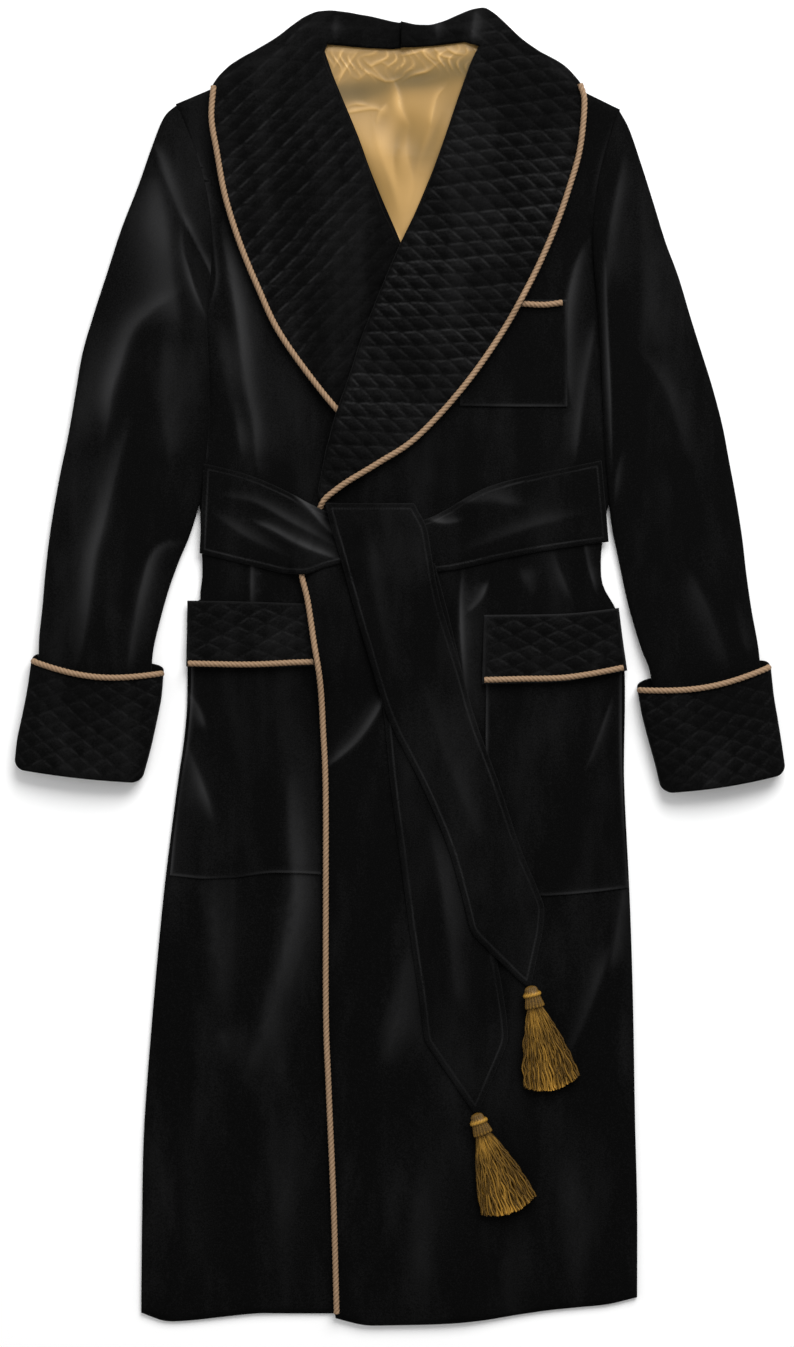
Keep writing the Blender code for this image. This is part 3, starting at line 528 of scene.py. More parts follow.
def diamonds(centre, tilt, across, up, plump, shine=(0.2, 0.2), fade=None, bend=0.0, rim_shine=0.0):
    """Quilted diamonds: wadding that swells between stitched grooves, a highlight painted by each groove.

    Across and up are a diamond's half width and half height. Shine has a value for each way of the
    stitches, fade a share by place, and bend curves the rows. Rim shine paints a highlight on the turned
    edge.
    """
    turn = math.radians(tilt)

    def relief(plan, edge_gap):
        rel = plan - np.array(centre, float)
        x, y = rel[:, 0], rel[:, 1]
        wander = 1.2 * np.sin(x / 33.0) + 1.0 * np.sin(y / 26.0 + 1.0) + 0.5 * np.sin((x + y) / 9.0)
        wander += bend * x * y
        i = (x * math.cos(turn) + y * math.sin(turn) + 1.6 * np.sin(y / 15.0 + x / 40.0)) / across
        j = (-x * math.sin(turn) + y * math.cos(turn) + wander) / up
        first, second = (i + j) / 2, (i - j) / 2
        a, b = 2 * (first - np.round(first)), 2 * (second - np.round(second))
        # A row of stitches that hardly shows is also drawn in less.
        deep_a, deep_b = 0.35 + 0.65 * min(1, shine[0] / 0.1), 0.35 + 0.65 * min(1, shine[1] / 0.1)
        swell = (1 - deep_a * np.exp(-np.abs(a) * 3.0)) * (1 - deep_b * np.exp(-np.abs(b) * 3.0))
        edge = np.clip(edge_gap / 6, 0, 1)
        # A highlight is painted on the slope that faces up the jacket, below each row of stitches.
        middle_a = np.clip(np.abs(b) * 2.2 - 0.1, 0, 1)
        middle_b = np.clip(np.abs(a) * 2.2 - 0.1, 0, 1)
        lit = shine[0] * (np.exp(-(((a + 0.16) / 0.13) ** 2)) * middle_a + 0.20 * np.clip(-a, 0, 1))
        lit += shine[1] * (np.exp(-(((b - 0.16) / 0.13) ** 2)) * middle_b + 0.20 * np.clip(b, 0, 1))
        # Some cells get more of the painted highlight than their neighbours.
        cell = np.sin(np.floor(first) * 12.9 + np.floor(second) * 78.2)
        uneven = 0.66 + 0.34 * np.sin(x / 33.0 + 1.3 * np.sin(y / 41.0)) * np.cos(y / 27.0) + 0.22 * cell
        soft = fade(plan) if fade is not None else 1.0
        # A highlight is painted along the turned edge.
        turned = rim_shine * np.exp(-((edge_gap / 1.6) ** 2))
        return plump * swell * edge, lit * np.clip(uneven, 0.05, 1.2) * soft * edge + turned

    return relief


def stitched(offset):
    """A turned edge with a row of stitches set in from it; painted highlights beside them and on the edge."""

    def relief(plan, edge_gap):
        line = np.exp(-(((edge_gap - offset) / 1.1) ** 2))
        ridge = np.exp(-(((edge_gap - offset + 1.2) / 0.6) ** 2))
        roll = np.exp(-(((edge_gap - 0.2) / 0.6) ** 2))
        broken = 0.7 + 0.3 * np.sin(plan[:, 0] / 17.0 + plan[:, 1] / 23.0)
        # The stitches are drawn in; the ridge beside them and the rolled edge get a painted highlight.
        return -0.45 * line, 0.13 * (ridge + 0.5 * roll) * broken

    return relief


def seamed(plan, edge_gap):
    """A patch pocket's turned edge, shown only as a highlight painted along it."""
    broken = 0.6 + 0.4 * np.sin(plan[:, 0] / 21.0 + plan[:, 1] / 31.0)
    return 0.0 * edge_gap, 0.24 * broken * np.exp(-((edge_gap / 2.2) ** 2))


def knotted(plan, edge_gap):
    """The upper belt end: stitched edges and the fold where it comes over the knot."""
    rise, shine = stitched(6.5)(plan, edge_gap)
    over = np.exp(-(((plan[:, 1] - 150) / 30) ** 2))
    return rise + 4.0 * over, shine


def crinkled(plan, edge_gap):
    """The lining: small puckers under the neck seam with painted highlights, and painted shade below them."""
    x, y = plan[:, 0], plan[:, 1]
    tight = np.exp(-(((y - 587 - 0.05 * x) / 13) ** 2))
    swirl = np.sin(x / 3.3 + 1.9 * np.sin(y / 5.0 + x / 14.0) + 0.9 * np.sin(x / 9.0))
    crease = np.exp(-((swirl / 0.42) ** 2)) * (0.6 + 0.4 * np.sin(x / 8.0 + y / 4.0))
    slow = np.sin((x + 0.45 * y) / 14.0 + 1.1 * np.sin(y / 27.0))
    slant = np.sin((x - 0.9 * y) / 21.0 + 0.7 * np.sin(x / 18.0))
    ripple = np.sin((x - 0.35 * y) / 4.6 + 1.4 * np.sin(y / 23.0)) * (0.5 + 0.5 * np.sin(y / 19.0 + x / 13.0))
    painted_shade_band = np.exp(-(((y - 566 - 0.18 * x) / 12) ** 2)) * (0.86 + 0.14 * np.sin(x / 13.0 + y / 9.0))
    below = np.clip((572 - y) / 40, 0, 1)
    rise = 2.2 + 0.5 * tight * crease + below * (0.9 * slow + 0.6 * slant + 0.12 * ripple)
    # Over the gold's middle tone, the tone paints highlights on the creases and folds, and shade in the band
    # below the puckers.
    tone = 0.52 + 0.30 * tight * (crease - 0.25) + 0.07 * below * slow + 0.05 * below * slant
    return rise, tone + 0.035 * below * ripple - 0.30 * painted_shade_band


# Folds. Rows: width, rise, shine, crest. Shine is a painted highlight; below zero it is painted shade.
RIGHT_FRONT_FOLDS = [
    (8, 3.0, 0.30, [(-172, 424), (-164, 381), (-156, 334), (-149, 276), (-141, 237), (-138, 196)]),
    (-5, 1.4, 0.18, [(-187, 262), (-189, 225), (-187, 200)]),
    (6, 1.4, 0.10, [(-160, 258), (-152, 202)]),
    (12, 1.4, 0.08, [(-176, 340), (-168, 292), (-160, 240)]),
    (2, 0.6, 0.22, [(-221, 540), (-208, 516), (-197, 492), (-188, 462), (-182, 430)]),
    (2, 0.6, 0.12, [(-184, 438), (-180, 405), (-178, 375), (-184, 350)]),
    (3, 1.4, 0.18, [(-143, 116), (-144, 84), (-144, 54)]),
    (
        14,
        3.2,
        0.17,
        [(-106, -96), (-104, -160), (-101, -215), (-108, -268), (-122, -318), (-137, -366), (-150, -400)],
    ),
    (-5, 1.8, 0.20, [(-206, -24), (-196, -40), (-188, -60)]),
    (-6, 2.2, 0.18, [(-206, -78), (-190, -120), (-180, -151)]),
    (16, 1.6, 0.06, [(-182, -175), (-180, -260), (-176, -340)]),
    (10, 1.4, 0.06, [(-176, -350), (-166, -392)]),
    (18, 1.8, 0.03, [(-210, -430), (-200, -600)]),
    (20, 2.0, 0.03, [(-120, -440), (-112, -610)]),
]
LEFT_FRONT_FOLDS = [
    (6, 2.4, 0.24, [(181, 412), (170, 384), (163, 346), (162, 300), (166, 258)]),
    (-6, 2.0, 0.18, [(190, 334), (178, 268), (170, 200)]),
    (7, 1.8, 0.12, [(208, 528), (196, 483), (188, 415)]),
    (3.5, 2.2, 0.28, [(61, 94), (59, 62), (60, 20), (65, -34)]),
    (-4, 2.0, 0.26, [(86, 82), (79, 66), (66, 52)]),
    (3, 1.6, 0.18, [(179, 122), (184, 96), (191, 72)]),
    (-5, 1.6, 0.10, [(148, 112), (158, 84), (168, 62)]),
    (8, 1.4, 0.08, [(116, 96), (130, 70)]),
    (-4.5, 2.4, 0.32, [(-12, -26), (-27, -53), (-45, -76), (-70, -97)]),
    (16, 1.8, 0.09, [(10, -275), (-6, -340), (-18, -392)]),
    (10, 1.4, 0.08, [(54, -205), (50, -300)]),
    (-7, 2.0, 0.09, [(206, -268), (192, -308), (176, -350), (162, -378)]),
    (7, 1.8, 0.12, [(219, -209), (213, -250), (205, -296)]),
    (3, 1.2, 0.12, [(207, -30), (190, -78), (180, -100)]),
    (22, 2.2, 0.03, [(30, -420), (20, -620)]),
    (22, 2.2, 0.03, [(160, -430), (168, -600)]),
]
RIGHT_SLEEVE_FOLDS = [
    (6, 2.6, 0.24, [(-240, 512), (-232, 492), (-222, 465), (-210, 436), (-200, 418)]),
    (3, 2.0, 0.26, [(-212, 440), (-204, 424), (-193, 402), (-184, 384), (-178, 366)]),
    (-3, 1.8, 0.22, [(-211, 424), (-210, 404), (-204, 381), (-196, 358), (-186, 336)]),
    (7, -4.0, -0.10, [(-208, 426), (-200, 400), (-192, 372), (-186, 346)]),
    (-20, 2.0, 0.24, [(-238, 480), (-229, 420), (-222, 362), (-214, 330)]),
    (-10, 2.6, 0.30, [(-218, 360), (-240, 346), (-260, 326), (-273, 290), (-281, 262), (-284, 230)]),
    (-9, 2.6, 0.22, [(-262, 236), (-276, 190), (-287, 142), (-297, 103), (-304, 44), (-311, 6)]),
    (6, 2.4, 0.22, [(-208, 120), (-226, 119), (-240, 106), (-250, 72), (-258, 30), (-263, -2)]),
    (18, 1.6, 0.10, [(-226, 320), (-226, 260), (-222, 200)]),
    (14, 1.4, 0.07, [(-296, 340), (-318, 210)]),
]
LEFT_SLEEVE_FOLDS = [
    (6, 2.4, 0.14, [(220, 500), (206, 430), (198, 360)]),
    (16, 2.2, 0.07, [(232, 480), (240, 380), (236, 300)]),
    (-2.5, 1.4, 0.32, [(199, 402), (201, 334), (204, 262), (206, 192)]),
    (9, 2.2, 0.06, [(232, 310), (262, 262), (280, 200)]),
    (-11, 2.0, 0.08, [(280, 92), (300, 46), (318, 0)]),
    (8, 2.0, 0.06, [(326, 60), (338, 10)]),
    (3, 1.2, 0.12, [(217, 210), (211, 186), (208, 156)]),
]
LINING_FOLDS = [
    (2.2, 0.5, 0.30, [(-61, 562), (-56, 573), (-48, 586), (-40, 597)]),
    (2, 0.4, 0.24, [(-64, 580), (-59, 589), (-54, 599)]),
    (2, 0.4, 0.20, [(-48, 574), (-40, 569), (-31, 576), (-22, 571), (-11, 567), (0, 570), (8, 576)]),
    (2, 0.4, 0.20, [(2, 567), (14, 574), (27, 577), (36, 584), (46, 590)]),
    (2, 0.4, 0.24, [(0, 592), (12, 594), (24, 597), (31, 590), (38, 588)]),
    (2, 0.4, 0.26, [(32, 601), (41, 592), (53, 590)]),
    (2, 0.4, 0.22, [(43, 603), (52, 595), (65, 593)]),
    (2, 0.4, 0.18, [(-36, 590), (-28, 582), (-18, 586), (-8, 579)]),
    (3, 0.8, 0.30, [(-54, 536), (-40, 539), (-26, 541), (-18, 539)]),
    (2, 0.5, 0.22, [(-54, 541), (-44, 545), (-30, 544)]),
    (-5, 0.8, 0.26, [(-8, 572), (-2, 556), (2, 538), (10, 524)]),
    (4, 0.6, 0.20, [(-12, 546), (-20, 536), (-22, 526)]),
    (-3, 0.7, 0.22, [(44, 562), (36, 552), (32, 536), (30, 524)]),
    (10, 1.0, 0.16, [(-26, 530), (-18, 500), (-6, 468), (2, 436)]),
    (-7, 0.8, 0.13, [(8, 530), (6, 500), (12, 470), (8, 444)]),
    (8, 0.6, 0.10, [(30, 524), (22, 498), (16, 476)]),
    (-12, -1.0, -0.24, [(-52, 528), (-40, 498), (-28, 466), (-18, 440)]),
    (6, -0.6, -0.14, [(-2, 520), (-4, 488), (0, 462)]),
    (10, -0.8, -0.14, [(44, 540), (30, 506), (20, 480)]),
    (2, 0.5, 0.40, [(-24, 450), (-16, 436), (-6, 422), (4, 410)]),
]
STAND_FOLDS = [
    (5, 1.2, 0.12, [(38, 632), (36, 620), (37, 606)]),
    (5, 1.6, 0.16, [(75, 638), (72, 622), (70, 606)]),
    (5, 1.2, 0.08, [(-62, 634), (-64, 606)]),
]
RIGHT_WAIST_FOLDS = [
    (4, 2.4, 0.44, [(-104, 168), (-91, 157), (-76, 140), (-61, 126)]),
    (4, 2.2, 0.40, [(-140, 140), (-124, 133), (-92, 116), (-60, 104)]),
    (5, 1.6, 0.16, [(-172, 166), (-140, 160), (-104, 140), (-60, 116)]),
    (6, 1.4, 0.10, [(-182, 150), (-150, 128), (-110, 108)]),
]
LEFT_WAIST_FOLDS = [
    (4, 1.8, 0.28, [(28, 142), (44, 139), (58, 141)]),
    (8, 1.6, 0.12, [(52, 160), (90, 162), (120, 156)]),
    (7, 1.4, 0.08, [(60, 112), (120, 134), (180, 150)]),
]
UPPER_END_FOLDS = [
    (10, 1.2, 0.05, [(-30, 140), (-20, 60), (0, -20)]),
    (10, 1.2, 0.05, [(20, -10), (52, -100), (80, -170)]),
]
LOWER_END_FOLDS = [(10, 1.0, 0.10, [(30, -150), (44, -220), (58, -330)])]

# The folds of each front that go on over its hip pocket.
RIGHT_POCKET_FOLDS = RIGHT_FRONT_FOLDS[7:10]
LEFT_POCKET_FOLDS = LEFT_FRONT_FOLDS[13:14]

# Routes of the piping on the lapels, from the collar down, x and y.
RIGHT_LAPEL_EDGE = [
    (-180, 562),
    (-182, 531),
    (-177, 499),
    (-169, 456),
    (-155, 411),
    (-137, 367),
    (-116, 323),
    (-78, 270),
    (-42, 228),
]
LEFT_EDGE = [
    (175, 564),
    (179, 546),
    (175, 503),
    (166, 469),
    (151, 426),
    (129, 377),
    (99, 323),
    (60, 268),
    (16, 221),
    (-20, 197),
    (-50, 179),
    (-64, 169),
    (-73, 161),
    (-79, 149),
    (-85, 134),
    (-93, 112),
    (-95, 91),
    (-89, 64),
    (-83, 25),
    (-77, -14),
    (-74, -63),
    (-71.5, -131),
    (-71.5, -326),
    (-69, -404),
    (-64, -521),
    (-61, -628),
]


def ramp_up(value, low, high):
    """From 0 at the low value to 1 at the high one."""
    return min(1.0, max(0.0, (value - low) / (high - low)))


def ramp_down(value, low, high):
    """From 1 at the low value to 0 at the high one."""
    return ramp_up(-value, -high, -low)


def on_shoulder(y):
    """1 on the lapels, falling to 0 where the collar goes over the shoulders."""
    return ramp_down(y, 580, 612)


# Above its pocket the right front's side steps in to this x, and the back stays inside that.
FRONT_STEP = -193.5
BACK_STEP = -190.0


def to_sleeve(x, y, on_rim):
    """The fronts reach a little under the sleeves, and the right one steps in above its pocket."""
    if x < -170 and 65 < y < 100:
        return max(x, FRONT_STEP), y
    way = 1 if x > 0 else -1
    return x + way * 2.5 * ramp_up(abs(x), 150, 175) * ramp_up(y, 150, 160), y


def under_front(x, y, on_rim):
    """The back stays inside the step that the right front makes above the pocket."""
    return (max(x, BACK_STEP), y) if 60 < y < 100 else (x, y)


def under_lapel(x, y, on_rim):
    """The lining reaches a little further under the right lapel and the collar's stand."""
    if on_rim and y > NECK_SEAM:
        return x, y + 7.0
    return (x - 3.0, y) if on_rim and x < 0 else (x, y)


def neck_edge(x, y):
    """The stand's lower edge hangs lowest at the back of the neck."""
    hang = float(np.interp(x, [-76, -71, -8, 34, 64, 76], [2.0, 2.6, 5.8, 2.6, -1.1, 3.0]))
    return y - hang * ramp_up(y, 585, NECK_SEAM) * ramp_down(y, 612, 640)


def meets(x, y, on_rim):
    """Whether a point is on the seam between the collar's halves."""
    return on_rim and abs(x - NECK_MIDDLE) < 1.2 and y > COLLAR_JOIN


def right_collar(x, y, on_rim):
    """The right half of the collar reaches its piping, and meets the left half at the back of the neck."""
    if meets(x, y, on_rim):
        return NECK_MIDDLE, neck_edge(x, y)
    return x - 2.1 * on_shoulder(y), neck_edge(x, y)


def left_collar(x, y, on_rim):
    """The left half of the collar, a little wider toward its piping."""
    if meets(x, y, on_rim):
        return NECK_MIDDLE, neck_edge(x, y)
    middle = 115 - 0.40 * (560 - y)
    outward = ramp_up(x, middle - 25, middle + 25)
    wider = (4.0 * outward - 2.0 * (1 - outward)) * on_shoulder(y) * ramp_up(y, 165, 205)
    return x + wider, neck_edge(x, y)


def off_neck(plan):
    """Painted highlights fade on the collar's stand behind the neck, and toward the shoulders and lapels'
    tips.
    """
    stand = np.clip((np.abs(plan[:, 0]) - 66) / 30, 0.0, 1.0)
    tip = np.clip((plan[:, 1] - 150) / 110, 0.45, 1.0)
    shoulder = np.clip((NECK_SEAM - plan[:, 1]) / 120, 0.35, 1.0)
    return np.where(plan[:, 1] > STAND_FOOT, stand, 1.0) * shoulder * tip


def off_roll(plan):
    """Painted highlights also fade where the lapel rolls over, along its inner edge."""
    roll = -92 + 0.35 * (plan[:, 1] - 314.5)
    return off_neck(plan) * np.clip((roll - plan[:, 0]) / 34 + 0.6, 0.15, 1.0)


# Half width and half height of the quilted diamonds.
LAPEL_DIAMOND = (17.0, 8.2)
BAND_DIAMOND = (15.0, 8.0)
CUFF_DIAMOND = (12.5, 8.6)
fall_quilt = diamonds((0, 560), 0, *LAPEL_DIAMOND, 1.2)
right_lapel = diamonds((-183, 540), 18.0, *LAPEL_DIAMOND, 1.8, (0.02, 0.15), off_roll, 0.0005)
left_lapel = diamonds((178, 540), -18.0, *LAPEL_DIAMOND, 2.0, (0.12, 0.14), off_neck, -0.0005)
right_band = diamonds((-206, 62), 4, *BAND_DIAMOND, 1.3, (0.05, 0.05), rim_shine=0.06)
left_band = diamonds((82, 50), -4, *BAND_DIAMOND, 1.3, (0.07, 0.05), rim_shine=0.14)
cuff_quilt = diamonds((0, 0), 0, *CUFF_DIAMOND, 1.4, (0.055, 0.04))


def cord_profile(name):
    """The section of the piping, with a lobe for each yarn."""
    data = bpy.data.curves.new(name, "CURVE")
    data.dimensions = "2D"
    lobes = data.splines.new("POLY")
    lobes.points.add(CORD_SIDES - 1)
    for k, point in enumerate(lobes.points):
        turn = 2 * math.pi * k / CORD_SIDES
        reach = CORD * (0.78 + 0.22 * abs(math.cos(turn * CORD_YARNS / 2)) ** 0.8) * MM
        point.co = (reach * math.cos(turn), reach * math.sin(turn), 0, 1)
    lobes.use_cyclic_u = True
    return bpy.data.objects.new(name, data)


def mesh_of(name, curve):
    """A curve's mesh. The curve's object is only there to have it made."""
    swept = bpy.data.objects.new(name, curve)
    bpy.context.scene.collection.objects.link(swept)
    bpy.context.view_layer.update()
    mesh = bpy.data.meshes.new_from_object(swept.evaluated_get(bpy.context.evaluated_depsgraph_get()))
    bpy.data.objects.remove(swept)
    return mesh


def rope(name, path, node):
    """Piping sewn into an edge: yarns twisted hard together.

    A path in plan lies on the pile, its height evened out. One with a height of its own keeps it.
    """
    line = along(path, CORD_STEP)
    if line.shape[1] == 2:
        tall = pile.over(line, CORD * 0.8)
        for _ in range(4):
            tall = np.maximum(tall, np.convolve(np.pad(tall, 6, "edge"), np.ones(13) / 13, "valid"))
        line = np.column_stack([line, tall + CORD * 0.75])
    profile = cord_profile(name + "_profile")
    curve = bpy.data.curves.new(name, "CURVE")
    curve.dimensions = "3D"
    curve.twist_mode = "MINIMUM"
    curve.bevel_mode = "OBJECT"
    curve.bevel_object = profile
    curve.use_fill_caps = True
    spline = curve.splines.new("POLY")
    spline.points.add(len(line) - 1)
    for k, (point, at) in enumerate(zip(spline.points, line)):
        point.co = (*(Vector(at) * MM), 1)
        # A tilt may be 60 turns either way, so the twist runs from one end of that to the other.
        point.tilt = 2 * math.pi * (k * CORD_STEP / CORD_TURN - 58)
    bm = bmesh.new()
    bm.from_mesh(mesh_of(name, curve))
    bpy.data.objects.remove(profile)
    bmesh.ops.remove_doubles(bm, verts=bm.verts, dist=1e-6)
    bmesh.ops.recalc_face_normals(bm, faces=bm.faces)
    # Shade is painted into the grooves between the yarns, nearer to the cord's middle; the crests are painted
    # lighter.
    place = np.array([v.co for v in bm.verts]) / MM
    off = np.full(len(place), 1e9)
    for start in range(0, len(line), 40):
        part = line[max(0, start - 2) : start + 42]
        gap = np.linalg.norm(place[:, None, :] - part[None, :, :], axis=2).min(axis=1)
        off = np.minimum(off, gap)
    finish_piece(bm, name, TWISTED_CORD, node, (off / CORD - 0.76) * 3.0, 0)
    np.maximum.at(pile.top, pile.cell(place[:, :2]), place[:, 2])


# What lies under the jacket, then everything in the order it is laid.
cloth("belt_back", BELT, COTTON_VELVET, 14.0)
cloth("collar_fall", QUILT, QUILTED_VELVET, 7.0, relief=fall_quilt)
cloth("back", VELVET, COTTON_VELVET, 16.0, ease=8, trim=under_front)
cloth("back_lining", SATIN, GOLD_SATIN, 2.5, LINING_FOLDS, crinkled, trim=under_lapel)
cloth("front_right", VELVET, COTTON_VELVET, 10.5, RIGHT_FRONT_FOLDS, trim=to_sleeve)
cloth("pocket_right", HIP_POCKET, COTTON_VELVET, 6.0, RIGHT_POCKET_FOLDS, seamed, rim=4.0)
cloth("pocket_band_right", QUILT, QUILTED_VELVET, 3.0, relief=right_band)
rope("cord_pocket_right", [(-205, 3), (-146, 2), (-100, 4), (-66, 5)], "piping_pocket_right")
cloth(
    "collar_right", QUILT, QUILTED_VELVET, 2.9, STAND_FOLDS, right_lapel, trim=right_collar
)
rope("cord_lapel_right", RIGHT_LAPEL_EDGE, "piping_collar_right")
cloth("front_left", VELVET, COTTON_VELVET, 10.5, LEFT_FRONT_FOLDS, trim=to_sleeve)
cloth("breast_pocket", BREAST_POCKET, COTTON_VELVET, 5.0, relief=seamed, rim=4.0)
rope("cord_breast_pocket", [(118, 352), (140, 351), (158, 353)], "piping_breast")
cloth("pocket_left", HIP_POCKET, COTTON_VELVET, 6.0, LEFT_POCKET_FOLDS, seamed, rim=4.0)
cloth("pocket_band_left", QUILT, QUILTED_VELVET, 3.0, relief=left_band)
rope("cord_pocket_left", [(82, -13), (117, -12), (156, -11), (186, -7), (217, -1)], "piping_pocket_left")
cloth("collar_left", QUILT, QUILTED_VELVET, 2.9, STAND_FOLDS, left_lapel, trim=left_collar)
rope("cord_left_front", LEFT_EDGE, "piping_left")
cloth("belt_waist_left", BELT, COTTON_VELVET, 4.5, LEFT_WAIST_FOLDS, stitched(6.0), rim=8.0)
cloth("belt_waist_right", BELT, COTTON_VELVET, 4.5, RIGHT_WAIST_FOLDS, stitched(6.0), rim=8.0)
cloth("belt_end_lower", BELT, COTTON_VELVET, 5.0, LOWER_END_FOLDS, stitched(6.5), rim=8.5)
cloth("belt_end_upper", BELT, COTTON_VELVET, 5.0, UPPER_END_FOLDS, knotted, rim=8.5)


# Sleeves and cuffs

# Rings from the armhole to inside the cuff, and from a cuff's turned edge to the hand:
# outer edge x, y; inner edge x, y; bulge; height; edge height; floor.
RIGHT_SLEEVE = [
    (-216, 546, -187, 343, -17, 8, 4.5, 0),
    (-229, 533, -187, 334, -12, 11, 5, 0),
    (-241, 503, -187, 322, -9, 13, 5, 0),
    (-254, 466, -186, 306, -6, 14, 5, 0),
    (-270, 425, -185, 286, -3, 14, 5, 0),
    (-284, 382, -185, 262, 0, 14, 5, 0),
    (-297, 342, -185, 238, 0, 14, 5, 0),
    (-308, 304, -187, 212, 0, 14, 5, 0),
    (-315, 264, -190, 186, 0, 14, 5, 0),
    (-322, 224, -195, 157, 0, 14, 5, 0),
    (-331, 181, -204, 127, 0, 14, 4, 0),
    (-339, 134, -215, 100, 0, 14, 4, 0),
    (-344, 92, -225, 71, 0, 14, 4, 0.6),
    (-347, 55, -233, 41, 0, 14, 4, 1.8),
    (-350, 25, -239, 14, 0, 13, 4, 3.0),
    (-351, 0, -241, -8, 0, 13, 4, 3.0),
    (-355, -50, -243, -54, 0, 12, 4, 3.0),
    (-359, -82, -249, -90, 0, 12, 4, 3.0),
]
LEFT_SLEEVE = [
    (213, 541, 192, 356, -13, 8, 4.5, 0),
    (223, 522, 193, 346, -11, 11, 5, 0),
    (234, 490, 194, 334, -8, 13, 5, 0),
    (246, 452, 195, 318, -5, 14, 5, 0),
    (258, 413, 196, 299, -2, 14, 5, 0),
    (271, 378, 197, 276, -1, 14, 5, 0),
    (283, 338, 198, 252, 0, 14, 5, 0),
    (294, 303, 199, 226, 0, 14, 5, 0),
    (304, 271, 200, 200, 0, 14, 5, 0),
    (314, 233, 203, 166, 0, 14, 5, 0),
    (321, 197, 207, 134, 0, 14, 4, 0),
    (328, 160, 214, 100, 0, 14, 4, 0),
    (334, 122, 222, 63, 0, 14, 4, 0.6),
    (338, 88, 230, 34, 0, 14, 4, 1.8),
    (343, 52, 237, 11, 0, 13, 4, 3.0),
    (350, 8, 245, -14, 0, 13, 4, 3.0),
    (354, -44, 252, -66, 0, 12, 4, 3.0),
    (360, -80, 262, -98, 0, 12, 4, 3.0),
]
RIGHT_CUFF = [
    (-357, 6, -229, -6, 9, 23, 8, 0),
    (-361, -22, -231, -30, 8, 23, 8, 0),
    (-366, -48, -236, -56, 7, 23, 8, 0),
    (-371, -73, -242, -84, 4, 23, 8, 0),
    (-374, -99, -249, -113, 2, 22, 8, 0),
]
LEFT_CUFF = [
    (360, 0, 231, -22, 8, 23, 8, 0),
    (363, -28, 235, -46, 7, 23, 8, 0),
    (367, -52, 241, -70, 6, 23, 8, 0),
    (371, -77, 248, -96, 4, 23, 8, 0),
    (375, -104, 254, -123, 3, 22, 8, 0),
]


def on_tube(rows, turn, down, lip=0.0):
    """Places on a flat tube. Turn goes over its top from 0 to 0.5 and back under it, down from 0 to 1.

    The corners of its hem are rounded. A lip is how much further its under layer reaches at its opening.
    """
    turn = np.mod(turn, 1.0)
    steps = 400
    at = np.clip(down, 0, 1) * steps
    columns = [np.interp(at, np.arange(steps + 1), column) for column in smooth_rows(rows, steps).T]
    ax, ay, bx, by, bulge, tall, edge, floor = columns
    angle = 2 * math.pi * turn
    t = 0.5 - 0.5 * np.cos(angle)
    width = np.hypot(bx - ax, by - ay)
    drop_x, drop_y = (by - ay) / width, (ax - bx) / width
    flip = np.where(drop_y < 0, 1, -1)
    near = np.clip(1 - np.minimum(t, 1 - t) * width / HEM_CORNER, 0, 1)
    belly = bulge * np.sin(math.pi * t) - HEM_CORNER * down**4 * (1 - np.sqrt(1 - near**2))
    belly -= np.where(turn > 0.5, lip, 0.0) * np.abs(np.sin(math.pi * t)) ** 0.35 * (1 - down) ** 4
    belly *= flip
    x = ax * (1 - t) + bx * t + drop_x * belly
    y = ay * (1 - t) + by * t + drop_y * belly
    round_off = np.abs(np.sin(angle))
    top = floor + edge + (tall - edge) * round_off**0.5
    under = floor + edge * (1 - round_off**0.35)
    return np.column_stack([x, y, np.where(turn <= 0.5, top, under)]), t, width


def smooth_rows(rows, count):
    """Rings at even steps along a table of rings."""
    rows = np.asarray(rows, float)
    ends = with_ends(rows)
    at = np.linspace(0, len(rows) - 1 - 1e-9, count + 1)
    k = at.astype(int)
    return between(ends[k], ends[k + 1], ends[k + 2], ends[k + 3], (at - k)[:, None])


